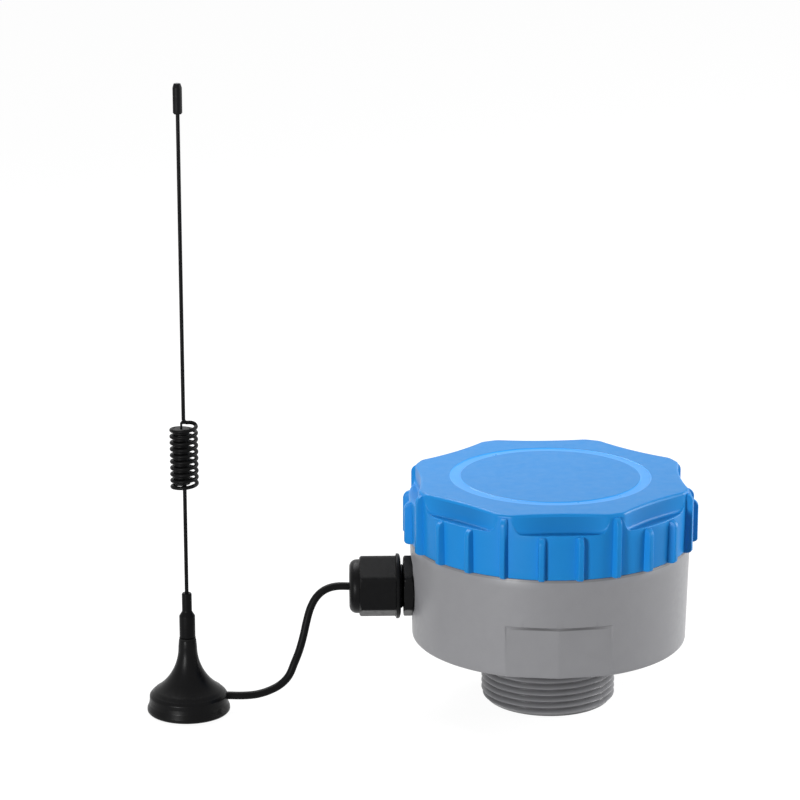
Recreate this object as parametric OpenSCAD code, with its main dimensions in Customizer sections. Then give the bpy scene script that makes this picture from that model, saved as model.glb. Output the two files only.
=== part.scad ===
// Radar level transmitter: a round moulded housing with a G1 1/2 process neck,
// a lobed screw cover, and a whip antenna that stands beside it on a magnetic
// foot and is wired in through a cable gland.
// Millimetres, +Z up. The origin is the centre of the neck's end face, which
// stands on the surface. The gland points along -X.

/* [Process neck] */
// Outside diameter over the G1 1/2 thread
neck_d = 47.8; // [46:0.1:52]
// Length of the neck below the housing
neck_l = 23.6; // [22:0.1:34]
// Bore of the neck
neck_bore_d = 38; // [36:0.5:40]
// Chamfer round the neck's end
neck_chamfer = 2; // [0.4:0.1:2.5]
// Thickness of the inward lip under the lens
lip_t = 2.5; // [2:0.1:3.5]
// Width of the lip, from the bore inwards
lip_w = 2.5; // [2:0.1:4]

/* [Housing] */
// Diameter of the housing at its foot
foot_d = 97.6; // [95:0.1:104]
// Diameter of the housing where the cover meets it
body_d = 99.4; // [96:0.1:106]
// Height of the housing's outer wall
body_h = 36.2; // [34:0.1:46]
// Thickness of the housing's floor
floor_t = 3.4; // [2.5:0.1:5]
// Thickness of the housing's wall at its foot
body_wall_t = 4.4; // [3.8:0.1:5.3]
// Chamfer round the housing's foot
foot_chamfer = 0.8; // [0.3:0.1:1.5]
// Depth of the wrench flats at the housing's foot
flats_depth = 1; // [0.5:0.1:3]
// Height of the wrench flats
flats_h = 18.8; // [10:0.1:26]
// Sides of the polygon that the wrench flats belong to
flats_n = 16; // [12:2:20]

/* [Closure collar] */
// Diameter of the collar that the cover screws on
collar_d = 93.8; // [92:0.1:94.6]
// Height of the collar
collar_h = 12.5; // [10:0.1:16]
// Bore of the collar
collar_bore_d = 84; // [82:0.1:86]
// Chamfer round the collar's top edge
collar_chamfer = 1.2; // [0.4:0.1:2]
// Section of the cover's O-ring
cover_ring_t = 2.6; // [2:0.1:3]
// Height of the O-ring's groove above the collar's foot
groove_rise = 0.7; // [0.5:0.1:2]

/* [Cover] */
// Diameter of the skirt at its mouth
cover_d = 99.6; // [98:0.1:104]
// Draft of the skirt between its mouth and the ledges, per side
skirt_draft = 0.3; // [0:0.05:0.5]
// Diameter over the lobes
lobe_d = 100.2; // [98:0.1:104]
// Number of lobes
lobe_n = 8; // [6:1:10]
// Depth of a scallop's middle inside the lobes
scallop_depth = 4.1; // [2:0.1:5]
// Radius of a scallop's hollow
scallop_arc_r = 100; // [60:5:200]
// Depth of the scallops below the top
scallop_h = 6.7; // [5:0.1:9]
// Fillet between a scallop and its ledge
scallop_fillet = 1; // [0.5:0.1:4]
// Rounding of a scallop's lower corners
scallop_corner_r = 3.3; // [1:0.1:5]
// Thickness of the cover under the ledges
ledge_t = 2.7; // [2:0.1:4]
// Thickness of the cover's wall behind the scallops
pocket_wall = 3.4; // [2:0.1:4.4]
// Thickness of the cover's top
cover_top_t = 3; // [2:0.1:4]
// Room between the collar and the cover above it
cover_room = 0.7; // [0.4:0.1:2]
// Rounding of the cover's top edge
cover_edge_r = 1; // [0.4:0.1:2]
// How far the ribs stand out of the lobes
rib_proud = 2.3; // [1:0.1:5]
// Width of a rib at its foot
rib_w = 2.8; // [1.5:0.1:4]
// Distance from a tall rib's top to the cover's top
rib_drop = 1.2; // [0.6:0.1:4]
// Outer diameter of the ring on top
band_d = 71.4; // [60:0.1:80]
// Width of the ring on top
band_w = 4; // [2:0.1:6]
// Depth of the ring on top
band_depth = 0.3; // [0.2:0.1:1]

/* [Lens and horn] */
// Thickness of the lens's flange
lens_flange_t = 3; // [2:0.1:4]
// Depth of the lens's crown below its flange
crown_h = 3.6; // [2:0.1:3.9]
// Section of the lens's O-ring
lens_ring_t = 2.4; // [1.8:0.1:2.8]
// Height of the threaded retaining ring
retainer_h = 4; // [3:0.1:6]
// Wall of the retaining ring
retainer_w = 2.1; // [1.5:0.1:3]
// Wall of the horn
horn_wall = 1.2; // [0.8:0.1:2]
// Bore of the horn's throat
throat_d = 5; // [3:0.1:8]
// Diameter of the horn's flange
horn_flange_d = 26; // [22:0.5:30]
// Thickness of the horn's flange
horn_flange_t = 2.5; // [2:0.1:4]

/* [Electronics] */
// Height of the bosses under the board
boss_h = 4; // [3.5:0.1:8]
// Diameter of the bosses
boss_d = 7; // [6:0.1:9]
// Distance of the bosses and posts from the axis
post_r = 32; // [31:0.1:33]
// Gap between the board's edge and the housing's wall
board_gap = 4.4; // [2:0.1:6]
// Thickness of the board
board_t = 1.6; // [1:0.1:2.4]
// Gap between the board's straight side and the gland's shank
board_shank_gap = 1.7; // [1:0.1:3]
// Side of the radar module's can
radar_can_w = 16; // [12:0.5:20]
// Height of the radar module's can
radar_can_h = 3; // [2:0.1:5]
// Gap between the radio module and the board's straight side
radio_edge_gap = 4; // [2:0.1:6]
// Length of the radio module along Y
radio_l = 20; // [14:0.5:24]
// Width of the radio module along X
radio_w = 12; // [10:0.5:14]
// Height of the radio module's can
radio_h = 2; // [1.5:0.1:3]
// Diameter of the coax plug
plug_d = 4.4; // [4:0.1:6]
// Height of the coax plug
plug_h = 1.6; // [1:0.1:4]

/* [Batteries] */
// Diameter of a cell
cell_d = 26; // [24:0.1:27]
// Length of a cell
cell_l = 50; // [46:0.1:52]
// Height of the posts under the battery holder
post_h = 12; // [11:0.1:14]
// Width across flats of the posts
post_af = 5.5; // [5:0.1:6.5]
// Thickness of the holder's plate under the cells
plate_t = 2.4; // [2:0.1:4]
// Thickness of the holder's end walls
end_wall_t = 2.2; // [1.6:0.1:3]
// Height of the holder's side walls
side_wall_h = 10; // [8:0.1:12]
// Gap between the holder's plate and the cells
cell_lift = 1; // [0.8:0.1:1.5]
// Thickness of the contact strips
strip_t = 0.5; // [0.3:0.1:0.8]

/* [Cable gland] */
// Height of the gland's axis above the housing's foot
gland_rise = 18.3; // [17:0.1:20]
// Depth of the flat seat cut for the gland
seat_depth = 0.4; // [0.3:0.05:1.5]
// How far the locknut's pad stands out of the housing's inner wall
pad_proud = 0.5; // [0.3:0.05:1.5]
// Thread diameter of the gland
gland_thread_d = 16; // [15:0.1:18]
// Width across flats of the flange and the nut
gland_af = 19.9; // [19:0.1:22]
// Thickness of the hex flange
gland_flange_t = 3.2; // [2:0.1:5]
// Length of the gland's outer thread
gland_sleeve_l = 12.8; // [12:0.1:16]
// Bore through the gland's body
gland_bore_d = 10; // [8:0.1:11]
// Gap between the flange and the nut
gland_gap = 1.05; // [0.8:0.05:4]
// Length of the nut's hexagon
gland_hex_l = 14.6; // [12:0.1:16]
// Length of the nut's dome
gland_dome_l = 3.6; // [3:0.1:6]
// Diameter of the nut's dome
gland_dome_d = 19.2; // [18:0.1:20]
// Rounding of the dome's edge
gland_dome_r = 2.6; // [1:0.1:2.8]
// Mouth of the nut
gland_mouth_d = 9.2; // [8:0.1:10]
// Thickness of the locknut
locknut_t = 4.5; // [3:0.1:5]
// Width across flats of the locknut
locknut_af = 22; // [20:0.1:23]
// Thickness of the flat washer
washer_t = 1; // [0.6:0.1:1.5]

/* [Antenna foot] */
// Position of the antenna along X
antenna_x = -128.7; // [-140:0.1:-120]
// Position of the antenna along Y
antenna_y = -12.2; // [-16:0.1:-8]
// Diameter of the foot's flared rim
rim_d = 29.4; // [28:0.1:34]
// Diameter of the foot's upright wall
wall_d = 27.6; // [25:0.1:28.4]
// Height of the upright wall's top
wall_h = 6.8; // [6.6:0.1:9]
// Height of the foot
foot_h = 26.9; // [24:0.1:32]
// Diameter of the foot's top
foot_top_d = 6.1; // [5.8:0.1:8]
// Radius of the hollow flank
flank_r = 18.9; // [17:0.1:20]
// Height of the straight throat below the foot's top
throat_h = 2.7; // [1:0.1:5]
// Thickness of the pad under the foot
pad_t = 0.8; // [0.5:0.1:1.2]
// Thickness of the magnet
magnet_t = 3; // [2:0.1:3.2]
// Diameter of the magnet
magnet_d = 22.8; // [18:0.1:24]
// Diameter of the stud
stud_d = 3; // [2.5:0.1:3.2]
// Length of the stud above the foot
stud_l = 6.6; // [5:0.1:7]

/* [Whip] */
// Thickness of the gasket under the ferrule
gasket_t = 0.8; // [0.4:0.1:1.5]
// Diameter of the ferrule's lower step
ferrule_d = 5.6; // [5.2:0.1:6.4]
// Length of the ferrule's lower step
ferrule_l = 8.2; // [7.8:0.1:12]
// Length of the cone between the ferrule's steps
cone_l = 1.5; // [0.5:0.1:3]
// Diameter of the ferrule's upper step
sleeve_d = 3.5; // [2.6:0.1:4.5]
// Length of the ferrule's upper step
sleeve_l = 6.7; // [4:0.1:10]
// Diameter of the wire
wire_d = 1.35; // [1:0.05:1.6]
// Height of the coil's lowest turn
coil_z = 83.3; // [70:0.1:90]
// Outer diameter of the coil
coil_d = 10; // [9:0.1:12]
// Number of turns
coil_turns = 9.5; // [6:0.5:12]
// Rise of each turn
coil_pitch = 2.265; // [2.1:0.005:3]
// Height of the bar above the last turn
bar_rise = 1.5; // [1.2:0.1:3]
// Diameter of the coil's core
core_d = 5.6; // [4:0.1:6]
// Height of the antenna's tip
tip_z = 224.9; // [190:0.1:240]
// Length of the tip cap
tip_l = 10.5; // [8:0.1:14]
// Diameter of the tip cap
tip_d = 3.2; // [2.4:0.1:4]

/* [Cable] */
// Diameter of the antenna's lead
cable_d = 2.8; // [2.2:0.1:3]

/* [Fits] */
// Gap between a turning piece and what it turns on
run_gap = 0.3; // [0.3:0.01:0.35]
// Gap round a piece that is fitted and stays put
fit_gap = 0.1; // [0.05:0.01:0.15]

/* [Hidden] */
$fn = 96;
over = 1;

// Heights
z_foot = neck_l;
z_floor = z_foot + floor_t;
z_joint = z_foot + body_h;
z_collar = z_joint + collar_h;
z_step = z_collar + cover_room;
z_ledge = z_step + ledge_t;
z_top = z_ledge + scallop_h;
z_lens = lip_t + lens_ring_t + fit_gap;
z_lens_top = z_lens + lens_flange_t;
z_board = z_floor + boss_h;
z_board_top = z_board + board_t;
z_plate = z_board_top + post_h;
z_cell = z_plate + plate_t + cell_lift + cell_d / 2;
z_gland = z_foot + gland_rise;

// Housing
lip_d = neck_bore_d - 2 * lip_w;
body_bore_d = foot_d - 2 * body_wall_t;
bore_cone = abs(body_bore_d - collar_bore_d) / 2;
flats_w = foot_d - 2 * flats_depth;
groove_w = cover_ring_t + 2 * run_gap;
flats_top = z_foot + flats_h;
pilot_d = 2.6;
boss_angles = [45:90:315];

// Cover
skirt_bore_d = collar_d + 2 * run_gap;
groove_d = skirt_bore_d - 2 * groove_w;
scallop_r = lobe_d / 2 - scallop_depth;
pocket_d = 2 * (scallop_r - pocket_wall);
scallop_x = scallop_r + scallop_arc_r;
scallop_end_x = (pow(scallop_x, 2) + pow(lobe_d / 2, 2) - pow(scallop_arc_r, 2))
    / (2 * scallop_x);
scallop_half_w = sqrt(pow(lobe_d / 2, 2) - pow(scallop_end_x, 2));
rib_d = lobe_d + 2 * rib_proud;
rib_n = 3 * lobe_n;
rib_top_share = 0.6;
rib_root = 1;

// Lens and horn
lens_d = neck_bore_d - 2 * fit_gap;
crown_r = lip_d / 2 - fit_gap - 0.4;
crown_ball_r = (crown_r * crown_r + crown_h * crown_h) / (2 * crown_h);
horn_mouth_r = neck_bore_d / 2 - retainer_w - 2 * fit_gap;
horn_z = z_board - horn_flange_t;
horn_screw_r = horn_flange_d / 2 - 2.5;
small_screw_d = 2;
small_head_d = 3.6;
small_head_h = 1.4;

// Electronics
screw_d = 3;
head_d = 5.2;
head_h = 1.8;
plug_top = z_board_top + radio_h + plug_h;

// Batteries
cell_room = 0.1;
cell_bore_d = cell_d + 2 * cell_room;
cell_y = cell_bore_d / 2 + 0.3;
nub_d = 8;
nub_h = 0.7;
dimple_d = 6;
side_wall_t = 3;
holder_in = cell_l / 2 + nub_h + strip_t + cell_room;
holder_x = holder_in + end_wall_t;
holder_y = cell_y + cell_d / 2 - 0.6;
end_wall_h = 0.72 * cell_d;
window_margin = 8;
window_l = cell_l - 2 * window_margin;
window_w = 12;
rail_top = z_plate + plate_t + side_wall_h;
strip_w = 2 * (z_cell - rail_top - run_gap);
screw_bite = 5;
pilot_l = 6;

// Gland
gland_wall_r = foot_d / 2 + (body_d - foot_d) / 2 * gland_rise / body_h;
seat_x = gland_wall_r - seat_depth;
seat_d = 2 * gland_af / sqrt(3) + 1.9;
locknut_r = locknut_af / sqrt(3);
pad_x = sqrt(pow(body_bore_d / 2, 2) - pow(locknut_r, 2)) - pad_proud;
pad_d = 2 * locknut_r + 1.6;
pad_sink = 2.6;
gland_wall_t = seat_x - pad_x;
shank_l = gland_wall_t + locknut_t + 0.8;
board_d = body_bore_d - 2 * board_gap;
board_flat_x = seat_x - shank_l - board_shank_gap;
radio_x = -(board_flat_x - radio_edge_gap - radio_w / 2);
washer_d = gland_af - 0.5;
claw_d = gland_bore_d + 3.4;
claw_z = gland_flange_t + 4.3;
sleeve_end = gland_flange_t + gland_sleeve_l;
nut_z = gland_flange_t + gland_gap;
nut_bore_d = gland_thread_d + 2 * run_gap;
nut_shoulder = nut_z + gland_hex_l;
nut_end = nut_shoulder + gland_dome_l;
nut_rim_d = 2 * gland_af / sqrt(3) + 0.3;
nut_rim_t = 1.8;

// Antenna
whip_z = foot_h + gasket_t;
ferrule_top = whip_z + ferrule_l + cone_l + sleeve_l;
wire_foot = ferrule_top - sleeve_l + 0.5;
coil_r = (coil_d - wire_d) / 2;
coil_start = -360 * coil_turns;
coil_top = coil_z + coil_turns * coil_pitch;
bar_z = coil_top + bar_rise;
bend_r = 1.2;
turn_steps = 18;
core_x = -(coil_r - wire_d / 2 - core_d / 2 - 0.05);
core_z = coil_z - wire_d / 4 + wire_d;
pin_d = 0.8;
wire_in_tip = 4;
lead_z = pad_t + magnet_t + 2 * fit_gap + cable_d / 2 + 0.2;

// Route of the antenna's lead, from the stud in the foot to the plug
cable_route = concat(
    [for (x = [1.8, 7.7, 13.7]) [antenna_x + x, antenna_y, lead_z]],
    [[-109.5, -12, 5.4], [-104.5, -11.4, 5.6], [-100, -10.6, 6.7], [-96, -9.6, 8.6],
     [-93, -8.6, 11.6], [-91, -7.4, 16], [-89.3, -6, 20], [-87.8, -4.6, 25],
     [-86.6, -3.3, 30], [-85.2, -2.1, 34.6], [-83, -1.2, 38.4], [-80, -0.5, 40.8]],
    [for (x = [-76, -70, -63, -56, -49, -42, -35, -31]) [x, 0, z_gland]],
    [[-28, 0, z_gland - 0.8], [-25.8, 0, z_gland - 3], [radio_x, 0, plug_top + 1.2],
     [radio_x, 0, plug_top]]);

// ---------------------------------------------------------------- swept tubes

function unit(v) = v / norm(v);
function tangent(path, i) = unit(path[min(i + 1, len(path) - 1)] - path[max(i - 1, 0)]);
function square_to(v, t) = unit(v - (v * t) * t);

// Side directions carried along a path without twisting
function side_dirs(path, start) =
    [for (i = 0, n = square_to(start, tangent(path, 0));
          i < len(path);
          i = i + 1, n = square_to(n, tangent(path, min(i, len(path) - 1)))) n];

module tube(path, d, sides, start) {
    dirs = side_dirs(path, start);
    last = len(path) - 1;
    points = [for (i = [0:last], k = [0:sides - 1])
        let (t = tangent(path, i), a = 360 * k / sides)
        path[i] + d / 2 * (cos(a) * dirs[i] + sin(a) * cross(t, dirs[i]))];
    walls = [for (i = [0:last - 1], k = [0:sides - 1])
        let (m = (k + 1) % sides)
        [i * sides + k, (i + 1) * sides + k, (i + 1) * sides + m, i * sides + m]];
    ends = [[for (k = [0:sides - 1]) k],
            [for (k = [sides - 1:-1:0]) last * sides + k]];
    polyhedron(points, concat(walls, ends), convexity = 10);
}

// -------------------------------------------------------------------- housing

module housing_outline() {
    neck_r = neck_d / 2;
    foot_r = foot_d / 2;
    collar_r = collar_d / 2;
    groove_z = z_joint + groove_rise;
    polygon([
        [0, 0], [neck_r - neck_chamfer, 0], [neck_r, neck_chamfer], [neck_r, z_foot],
        [foot_r - foot_chamfer, z_foot], [foot_r, z_foot + foot_chamfer],
        [body_d / 2, z_joint], [collar_r, z_joint], [collar_r, groove_z],
        [groove_d / 2, groove_z], [groove_d / 2, groove_z + groove_w],
        [collar_r, groove_z + groove_w], [collar_r, z_collar - collar_chamfer],
        [collar_r - collar_chamfer, z_collar], [0, z_collar]]);
}

module housing_hollow() {
    bore_r = body_bore_d / 2;
    collar_bore_r = collar_bore_d / 2;
    polygon([
        [0, -over], [lip_d / 2, -over], [lip_d / 2, lip_t], [neck_bore_d / 2, lip_t],
        [neck_bore_d / 2, z_floor], [bore_r, z_floor], [bore_r, z_joint - bore_cone],
        [collar_bore_r, z_joint], [collar_bore_r, z_collar + over],
        [0, z_collar + over]]);
}

// Two facets at the front and two at the back, which meet in a corner there
module wrench_flats() {
    for (side = [-90, 90], way = [-1, 1])
        rotate(side + way * 180 / flats_n)
            translate([flats_w / 2, -flats_w / 4, z_foot - over])
                cube([flats_w / 4, flats_w / 2, flats_h + over]);
}

// Puts local +Z on the gland's axis, pointing out of the housing from its seat
module on_gland() {
    translate([-seat_x, 0, z_gland]) rotate([0, -90, 0]) children();
}

module on_bosses(z) {
    for (a = boss_angles) rotate(a) translate([post_r, 0, z]) children();
}

module housing() {
    color("#949496")
    difference() {
        union() {
            difference() {
                rotate_extrude() housing_outline();
                rotate_extrude() housing_hollow();
            }
            on_gland() translate([0, 0, -gland_wall_t])
                cylinder(d = pad_d, h = gland_wall_t - pad_sink);
            on_bosses(z_floor - over) cylinder(d = boss_d, h = boss_h + over);
        }
        wrench_flats();
        on_gland() cylinder(d = seat_d, h = over + seat_depth);
        on_gland() translate([0, 0, -washer_t])
            cylinder(d = washer_d + 2 * fit_gap, h = washer_t + over);
        on_gland() translate([0, 0, -gland_wall_t - over])
            cylinder(d = gland_thread_d + 2 * fit_gap, h = gland_wall_t + over);
        on_bosses(z_floor) cylinder(d = pilot_d, h = boss_h + over);
    }
}

// ---------------------------------------------------------------------- cover

module cover_outline() {
    difference() {
        polygon([
            [0, z_joint], [cover_d / 2, z_joint], [cover_d / 2 + skirt_draft, z_ledge],
            [lobe_d / 2, z_ledge], [lobe_d / 2, z_top - cover_edge_r],
            [lobe_d / 2 - cover_edge_r, z_top - cover_edge_r],
            [lobe_d / 2 - cover_edge_r, z_top], [0, z_top]]);
        translate([band_d / 2 - band_w, z_top - band_depth]) square([band_w, over]);
    }
    translate([lobe_d / 2 - cover_edge_r, z_top - cover_edge_r]) circle(cover_edge_r);
}

module cover_hollow() {
    polygon([
        [0, z_joint - over], [skirt_bore_d / 2, z_joint - over],
        [skirt_bore_d / 2, z_step], [pocket_d / 2, z_step],
        [pocket_d / 2, z_top - cover_top_t], [0, z_top - cover_top_t]]);
}

// Upright outline whose lower corners are rounded, from its middle to one side
module rounded_foot(half_w, r) {
    translate([0, r]) square([half_w, scallop_h + over]);
    square([half_w - r, r + over]);
    translate([half_w - r, r]) circle(r);
}

// Cutter for one scallop: a hollow with a filleted ledge, seen through a window
// that rounds its lower corners
module scallop() {
    intersection() {
        translate([scallop_x, 0, z_ledge])
            rotate_extrude($fn = 180) rounded_foot(scallop_arc_r, scallop_fillet);
        translate([0, 0, z_ledge]) rotate([90, 0, 90]) linear_extrude(lobe_d)
            for (side = [0, 1]) mirror([side, 0])
                rounded_foot(scallop_half_w, scallop_corner_r);
    }
}

// One grip rib from the skirt's mouth up to the given height
module rib(top) {
    tip_w = rib_top_share * rib_w;
    root_x = min(cover_d, lobe_d) / 2 - rib_root;
    translate([0, 0, z_joint])
        intersection() {
            linear_extrude(top - z_joint)
                polygon([[root_x, -rib_w / 2], [rib_d / 2, -tip_w / 2],
                         [rib_d / 2, tip_w / 2], [root_x, rib_w / 2]]);
            rotate([90, 0, 0]) translate([0, 0, -rib_w])
                linear_extrude(2 * rib_w)
                    polygon([[root_x, 0], [rib_d / 2 - 0.6, 0], [rib_d / 2, 0.6],
                             [rib_d / 2, top - z_joint - 1.6],
                             [rib_d / 2 - 1.6, top - z_joint], [root_x, top - z_joint]]);
        }
}

module cover() {
    pitch = 360 / lobe_n;
    color("#2f86d6")
    difference() {
        union() {
            rotate_extrude() cover_outline();
            for (i = [0:rib_n - 1])
                rotate(pitch / 2 + i * 360 / rib_n)
                    rib(i % 3 == 0 ? z_top - rib_drop : z_ledge - 0.2);
        }
        for (i = [0:lobe_n - 1]) rotate(i * pitch) scallop();
        rotate_extrude() cover_hollow();
    }
}

module ring(mid_d, t) {
    rotate_extrude() translate([mid_d / 2, 0]) circle(d = t, $fn = 32);
}

module cover_seal() {
    color("#1c1c1c")
    translate([0, 0, z_joint + groove_rise + groove_w / 2])
        ring(groove_d + 2 * run_gap + cover_ring_t, cover_ring_t);
}

// -------------------------------------------------------------- lens and horn

module radar_lens() {
    color("#f2f2ee")
    union() {
        translate([0, 0, z_lens]) cylinder(d = lens_d, h = lens_flange_t);
        intersection() {
            translate([0, 0, z_lens - crown_h + crown_ball_r]) sphere(crown_ball_r);
            translate([0, 0, z_lens - crown_h - over])
                cylinder(r = crown_r, h = crown_h + over + lens_flange_t / 2);
        }
    }
}

module lens_seal() {
    color("#1c1c1c")
    translate([0, 0, lip_t + fit_gap / 2 + lens_ring_t / 2])
        ring(neck_bore_d - 2 * fit_gap - lens_ring_t, lens_ring_t);
}

module lens_retainer() {
    slot_w = 3;
    color("#b9bcc0")
    translate([0, 0, z_lens_top])
        difference() {
            cylinder(d = neck_bore_d - 2 * fit_gap, h = retainer_h);
            translate([0, 0, -over])
                cylinder(d = neck_bore_d - 2 * retainer_w - 2 * fit_gap,
                         h = retainer_h + 2 * over);
            translate([-neck_bore_d, -slot_w / 2, retainer_h / 2])
                cube([2 * neck_bore_d, slot_w, retainer_h]);
        }
}

module on_horn_screws(z) {
    for (a = [0:90:270]) rotate(a) translate([horn_screw_r, 0, z]) children();
}

module horn() {
    mouth_r = horn_mouth_r;
    throat_r = throat_d / 2;
    color("#c9ccd0")
    difference() {
        rotate_extrude() polygon([
            [mouth_r - horn_wall, z_lens_top], [mouth_r, z_lens_top],
            [mouth_r, z_lens_top + 1], [throat_r + 2 * horn_wall, horn_z],
            [horn_flange_d / 2, horn_z], [horn_flange_d / 2, z_board],
            [throat_r, z_board], [throat_r, horn_z]]);
        on_horn_screws(horn_z - over)
            cylinder(d = small_screw_d + 2 * fit_gap, h = horn_flange_t + 2 * over);
    }
}

module horn_screws() {
    shank = board_t + horn_flange_t;
    color("#c8c8c8")
    on_horn_screws(z_board_top - shank)
        union() {
            cylinder(d = small_screw_d, h = shank);
            translate([0, 0, shank]) cylinder(d = small_head_d, h = small_head_h);
        }
}

// ---------------------------------------------------------------- electronics

module main_board() {
    color("#1f6b3a")
    difference() {
        translate([0, 0, z_board]) cylinder(d = board_d, h = board_t);
        translate([-board_d, -board_d / 2, z_board - over])
            cube([board_d - board_flat_x, board_d, board_t + 2 * over]);
        translate([0, 0, z_board - over]) cylinder(d = throat_d, h = board_t + 2 * over);
        on_bosses(z_board - over)
            cylinder(d = screw_d + 2 * fit_gap, h = board_t + 2 * over);
        on_horn_screws(z_board - over)
            cylinder(d = small_screw_d + 2 * fit_gap, h = board_t + 2 * over);
    }
}

module radar_module() {
    color("#c4c7ca")
    translate([-radar_can_w / 2, -radar_can_w / 2, z_board_top])
        cube([radar_can_w, radar_can_w, radar_can_h]);
}

module radio_module() {
    color("#c4c7ca")
    translate([radio_x - radio_w / 2, -radio_l / 2, z_board_top])
        cube([radio_w, radio_l, radio_h]);
}

module coax_plug() {
    color("#c9a85a")
    translate([radio_x, 0, z_board_top + radio_h])
        cylinder(d = plug_d, h = plug_h);
}

module standoffs() {
    color("#c8a24a")
    on_bosses(z_board_top)
        difference() {
            union() {
                cylinder(d = post_af / cos(30), h = post_h, $fn = 6);
                translate([0, 0, -board_t - boss_h + 0.5])
                    cylinder(d = pilot_d - fit_gap, h = board_t + boss_h);
            }
            translate([0, 0, post_h - pilot_l]) cylinder(d = pilot_d, h = pilot_l + over);
        }
}

// ------------------------------------------------------------------ batteries

module battery_holder() {
    color("#2b2b2d")
    difference() {
        union() {
            translate([-holder_x, -holder_y, z_plate])
                cube([2 * holder_x, 2 * holder_y, plate_t]);
            for (x = [-holder_x, holder_in])
                translate([x, -holder_y, z_plate])
                    cube([end_wall_t, 2 * holder_y, plate_t + end_wall_h]);
            for (y = [-holder_y, -side_wall_t / 2, holder_y - side_wall_t])
                translate([-holder_x, y, z_plate])
                    cube([2 * holder_x, side_wall_t, plate_t + side_wall_h]);
        }
        for (y = [-cell_y, cell_y])
            translate([-holder_in, y, z_cell]) rotate([0, 90, 0])
                cylinder(d = cell_bore_d, h = 2 * holder_in);
        for (y = [-cell_y, cell_y])
            translate([-window_l / 2, y - window_w / 2, z_plate - over])
                cube([window_l, window_w, plate_t + 2 * over]);
        on_bosses(z_plate - over)
            cylinder(d = screw_d + 2 * fit_gap, h = plate_t + 2 * over);
        on_bosses(z_plate + plate_t)
            cylinder(d = head_d + 1.4, h = plate_t + side_wall_h);
    }
}

module holder_screws() {
    color("#c8c8c8")
    on_bosses(z_plate + plate_t)
        union() {
            cylinder(d = head_d, h = head_h);
            translate([0, 0, -plate_t - screw_bite])
                cylinder(d = pilot_d - fit_gap, h = plate_t + screw_bite);
        }
}

module battery_cells() {
    color("#d8d4c8")
    for (s = [-1, 1])
        translate([-s * cell_l / 2, s * cell_y, z_cell]) rotate([0, s * 90, 0])
            union() {
                cylinder(d = cell_d, h = cell_l);
                cylinder(d = nub_d, h = cell_l + nub_h);
            }
}

// A strip at each end, with a dimple that reaches the flat end of one cell
module battery_contacts() {
    color("#cfcfd2")
    for (a = [0, 180]) rotate(a)
        union() {
            translate([-holder_in, -cell_y - strip_w / 2, z_cell - strip_w / 2])
                cube([strip_t, 2 * cell_y + strip_w, strip_w]);
            translate([-holder_in, cell_y, z_cell]) rotate([0, 90, 0])
                cylinder(d = dimple_d, h = strip_t + nub_h);
        }
}

// ---------------------------------------------------------------- cable gland

module hexagon(af) {
    circle(d = af / cos(30), $fn = 6);
}

module gland_body() {
    color("#1d1d1e")
    on_gland()
        difference() {
            union() {
                intersection() {
                    linear_extrude(gland_flange_t) hexagon(gland_af);
                    cylinder(d = nut_rim_d - 0.4, h = gland_flange_t);
                }
                translate([0, 0, -shank_l])
                    cylinder(d = gland_thread_d, h = shank_l + sleeve_end);
            }
            translate([0, 0, -shank_l - over])
                cylinder(d = gland_bore_d, h = shank_l + sleeve_end + 2 * over);
            translate([0, 0, claw_z]) cylinder(d = claw_d, h = sleeve_end);
        }
}

module gland_washer() {
    color("#151515")
    on_gland() translate([0, 0, -washer_t])
        difference() {
            cylinder(d = washer_d, h = washer_t);
            translate([0, 0, -over])
                cylinder(d = gland_thread_d + 2 * fit_gap, h = washer_t + 2 * over);
        }
}

module gland_locknut() {
    color("#1d1d1e")
    on_gland() translate([0, 0, -gland_wall_t - locknut_t])
        difference() {
            linear_extrude(locknut_t) hexagon(locknut_af);
            translate([0, 0, -over])
                cylinder(d = gland_thread_d + 2 * fit_gap, h = locknut_t + 2 * over);
        }
}

module gland_seal() {
    seal_r = claw_d / 2 - run_gap;
    color("#101010")
    on_gland()
        rotate_extrude() polygon([
            [cable_d / 2 + run_gap, claw_z + run_gap], [seal_r, claw_z + run_gap],
            [seal_r, sleeve_end + 0.6], [gland_mouth_d / 2 - 0.6, nut_shoulder + 0.6],
            [cable_d / 2 + run_gap, nut_shoulder + 0.6]]);
}

module nut_outline() {
    dome_r = gland_dome_d / 2;
    rim_r = nut_rim_d / 2;
    polygon([
        [0, nut_z], [rim_r - 1.6, nut_z], [rim_r, nut_z + 0.7], [rim_r, nut_z + nut_rim_t],
        [rim_r, nut_shoulder - 0.8], [dome_r + 0.9, nut_shoulder], [dome_r, nut_shoulder],
        [dome_r, nut_end - gland_dome_r], [dome_r - gland_dome_r, nut_end - gland_dome_r],
        [dome_r - gland_dome_r, nut_end], [0, nut_end]]);
    translate([dome_r - gland_dome_r, nut_end - gland_dome_r]) circle(gland_dome_r);
}

module gland_nut() {
    mouth_r = gland_mouth_d / 2;
    color("#1d1d1e")
    on_gland()
        difference() {
            intersection() {
                rotate_extrude() nut_outline();
                union() {
                    linear_extrude(nut_end) hexagon(gland_af);
                    cylinder(d = nut_rim_d, h = nut_z + nut_rim_t);
                }
            }
            rotate_extrude() polygon([
                [0, nut_z - over], [nut_bore_d / 2, nut_z - over],
                [nut_bore_d / 2, nut_shoulder - 1.6], [mouth_r, nut_shoulder + 2],
                [mouth_r, nut_end + over], [0, nut_end + over]]);
        }
}

module antenna_cable() {
    color("#141414") tube(cable_route, cable_d, 8, [0, 0, 1]);
}

// --------------------------------------------------------------- antenna foot

module on_antenna(z = 0) {
    translate([antenna_x, antenna_y, z]) children();
}

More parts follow.
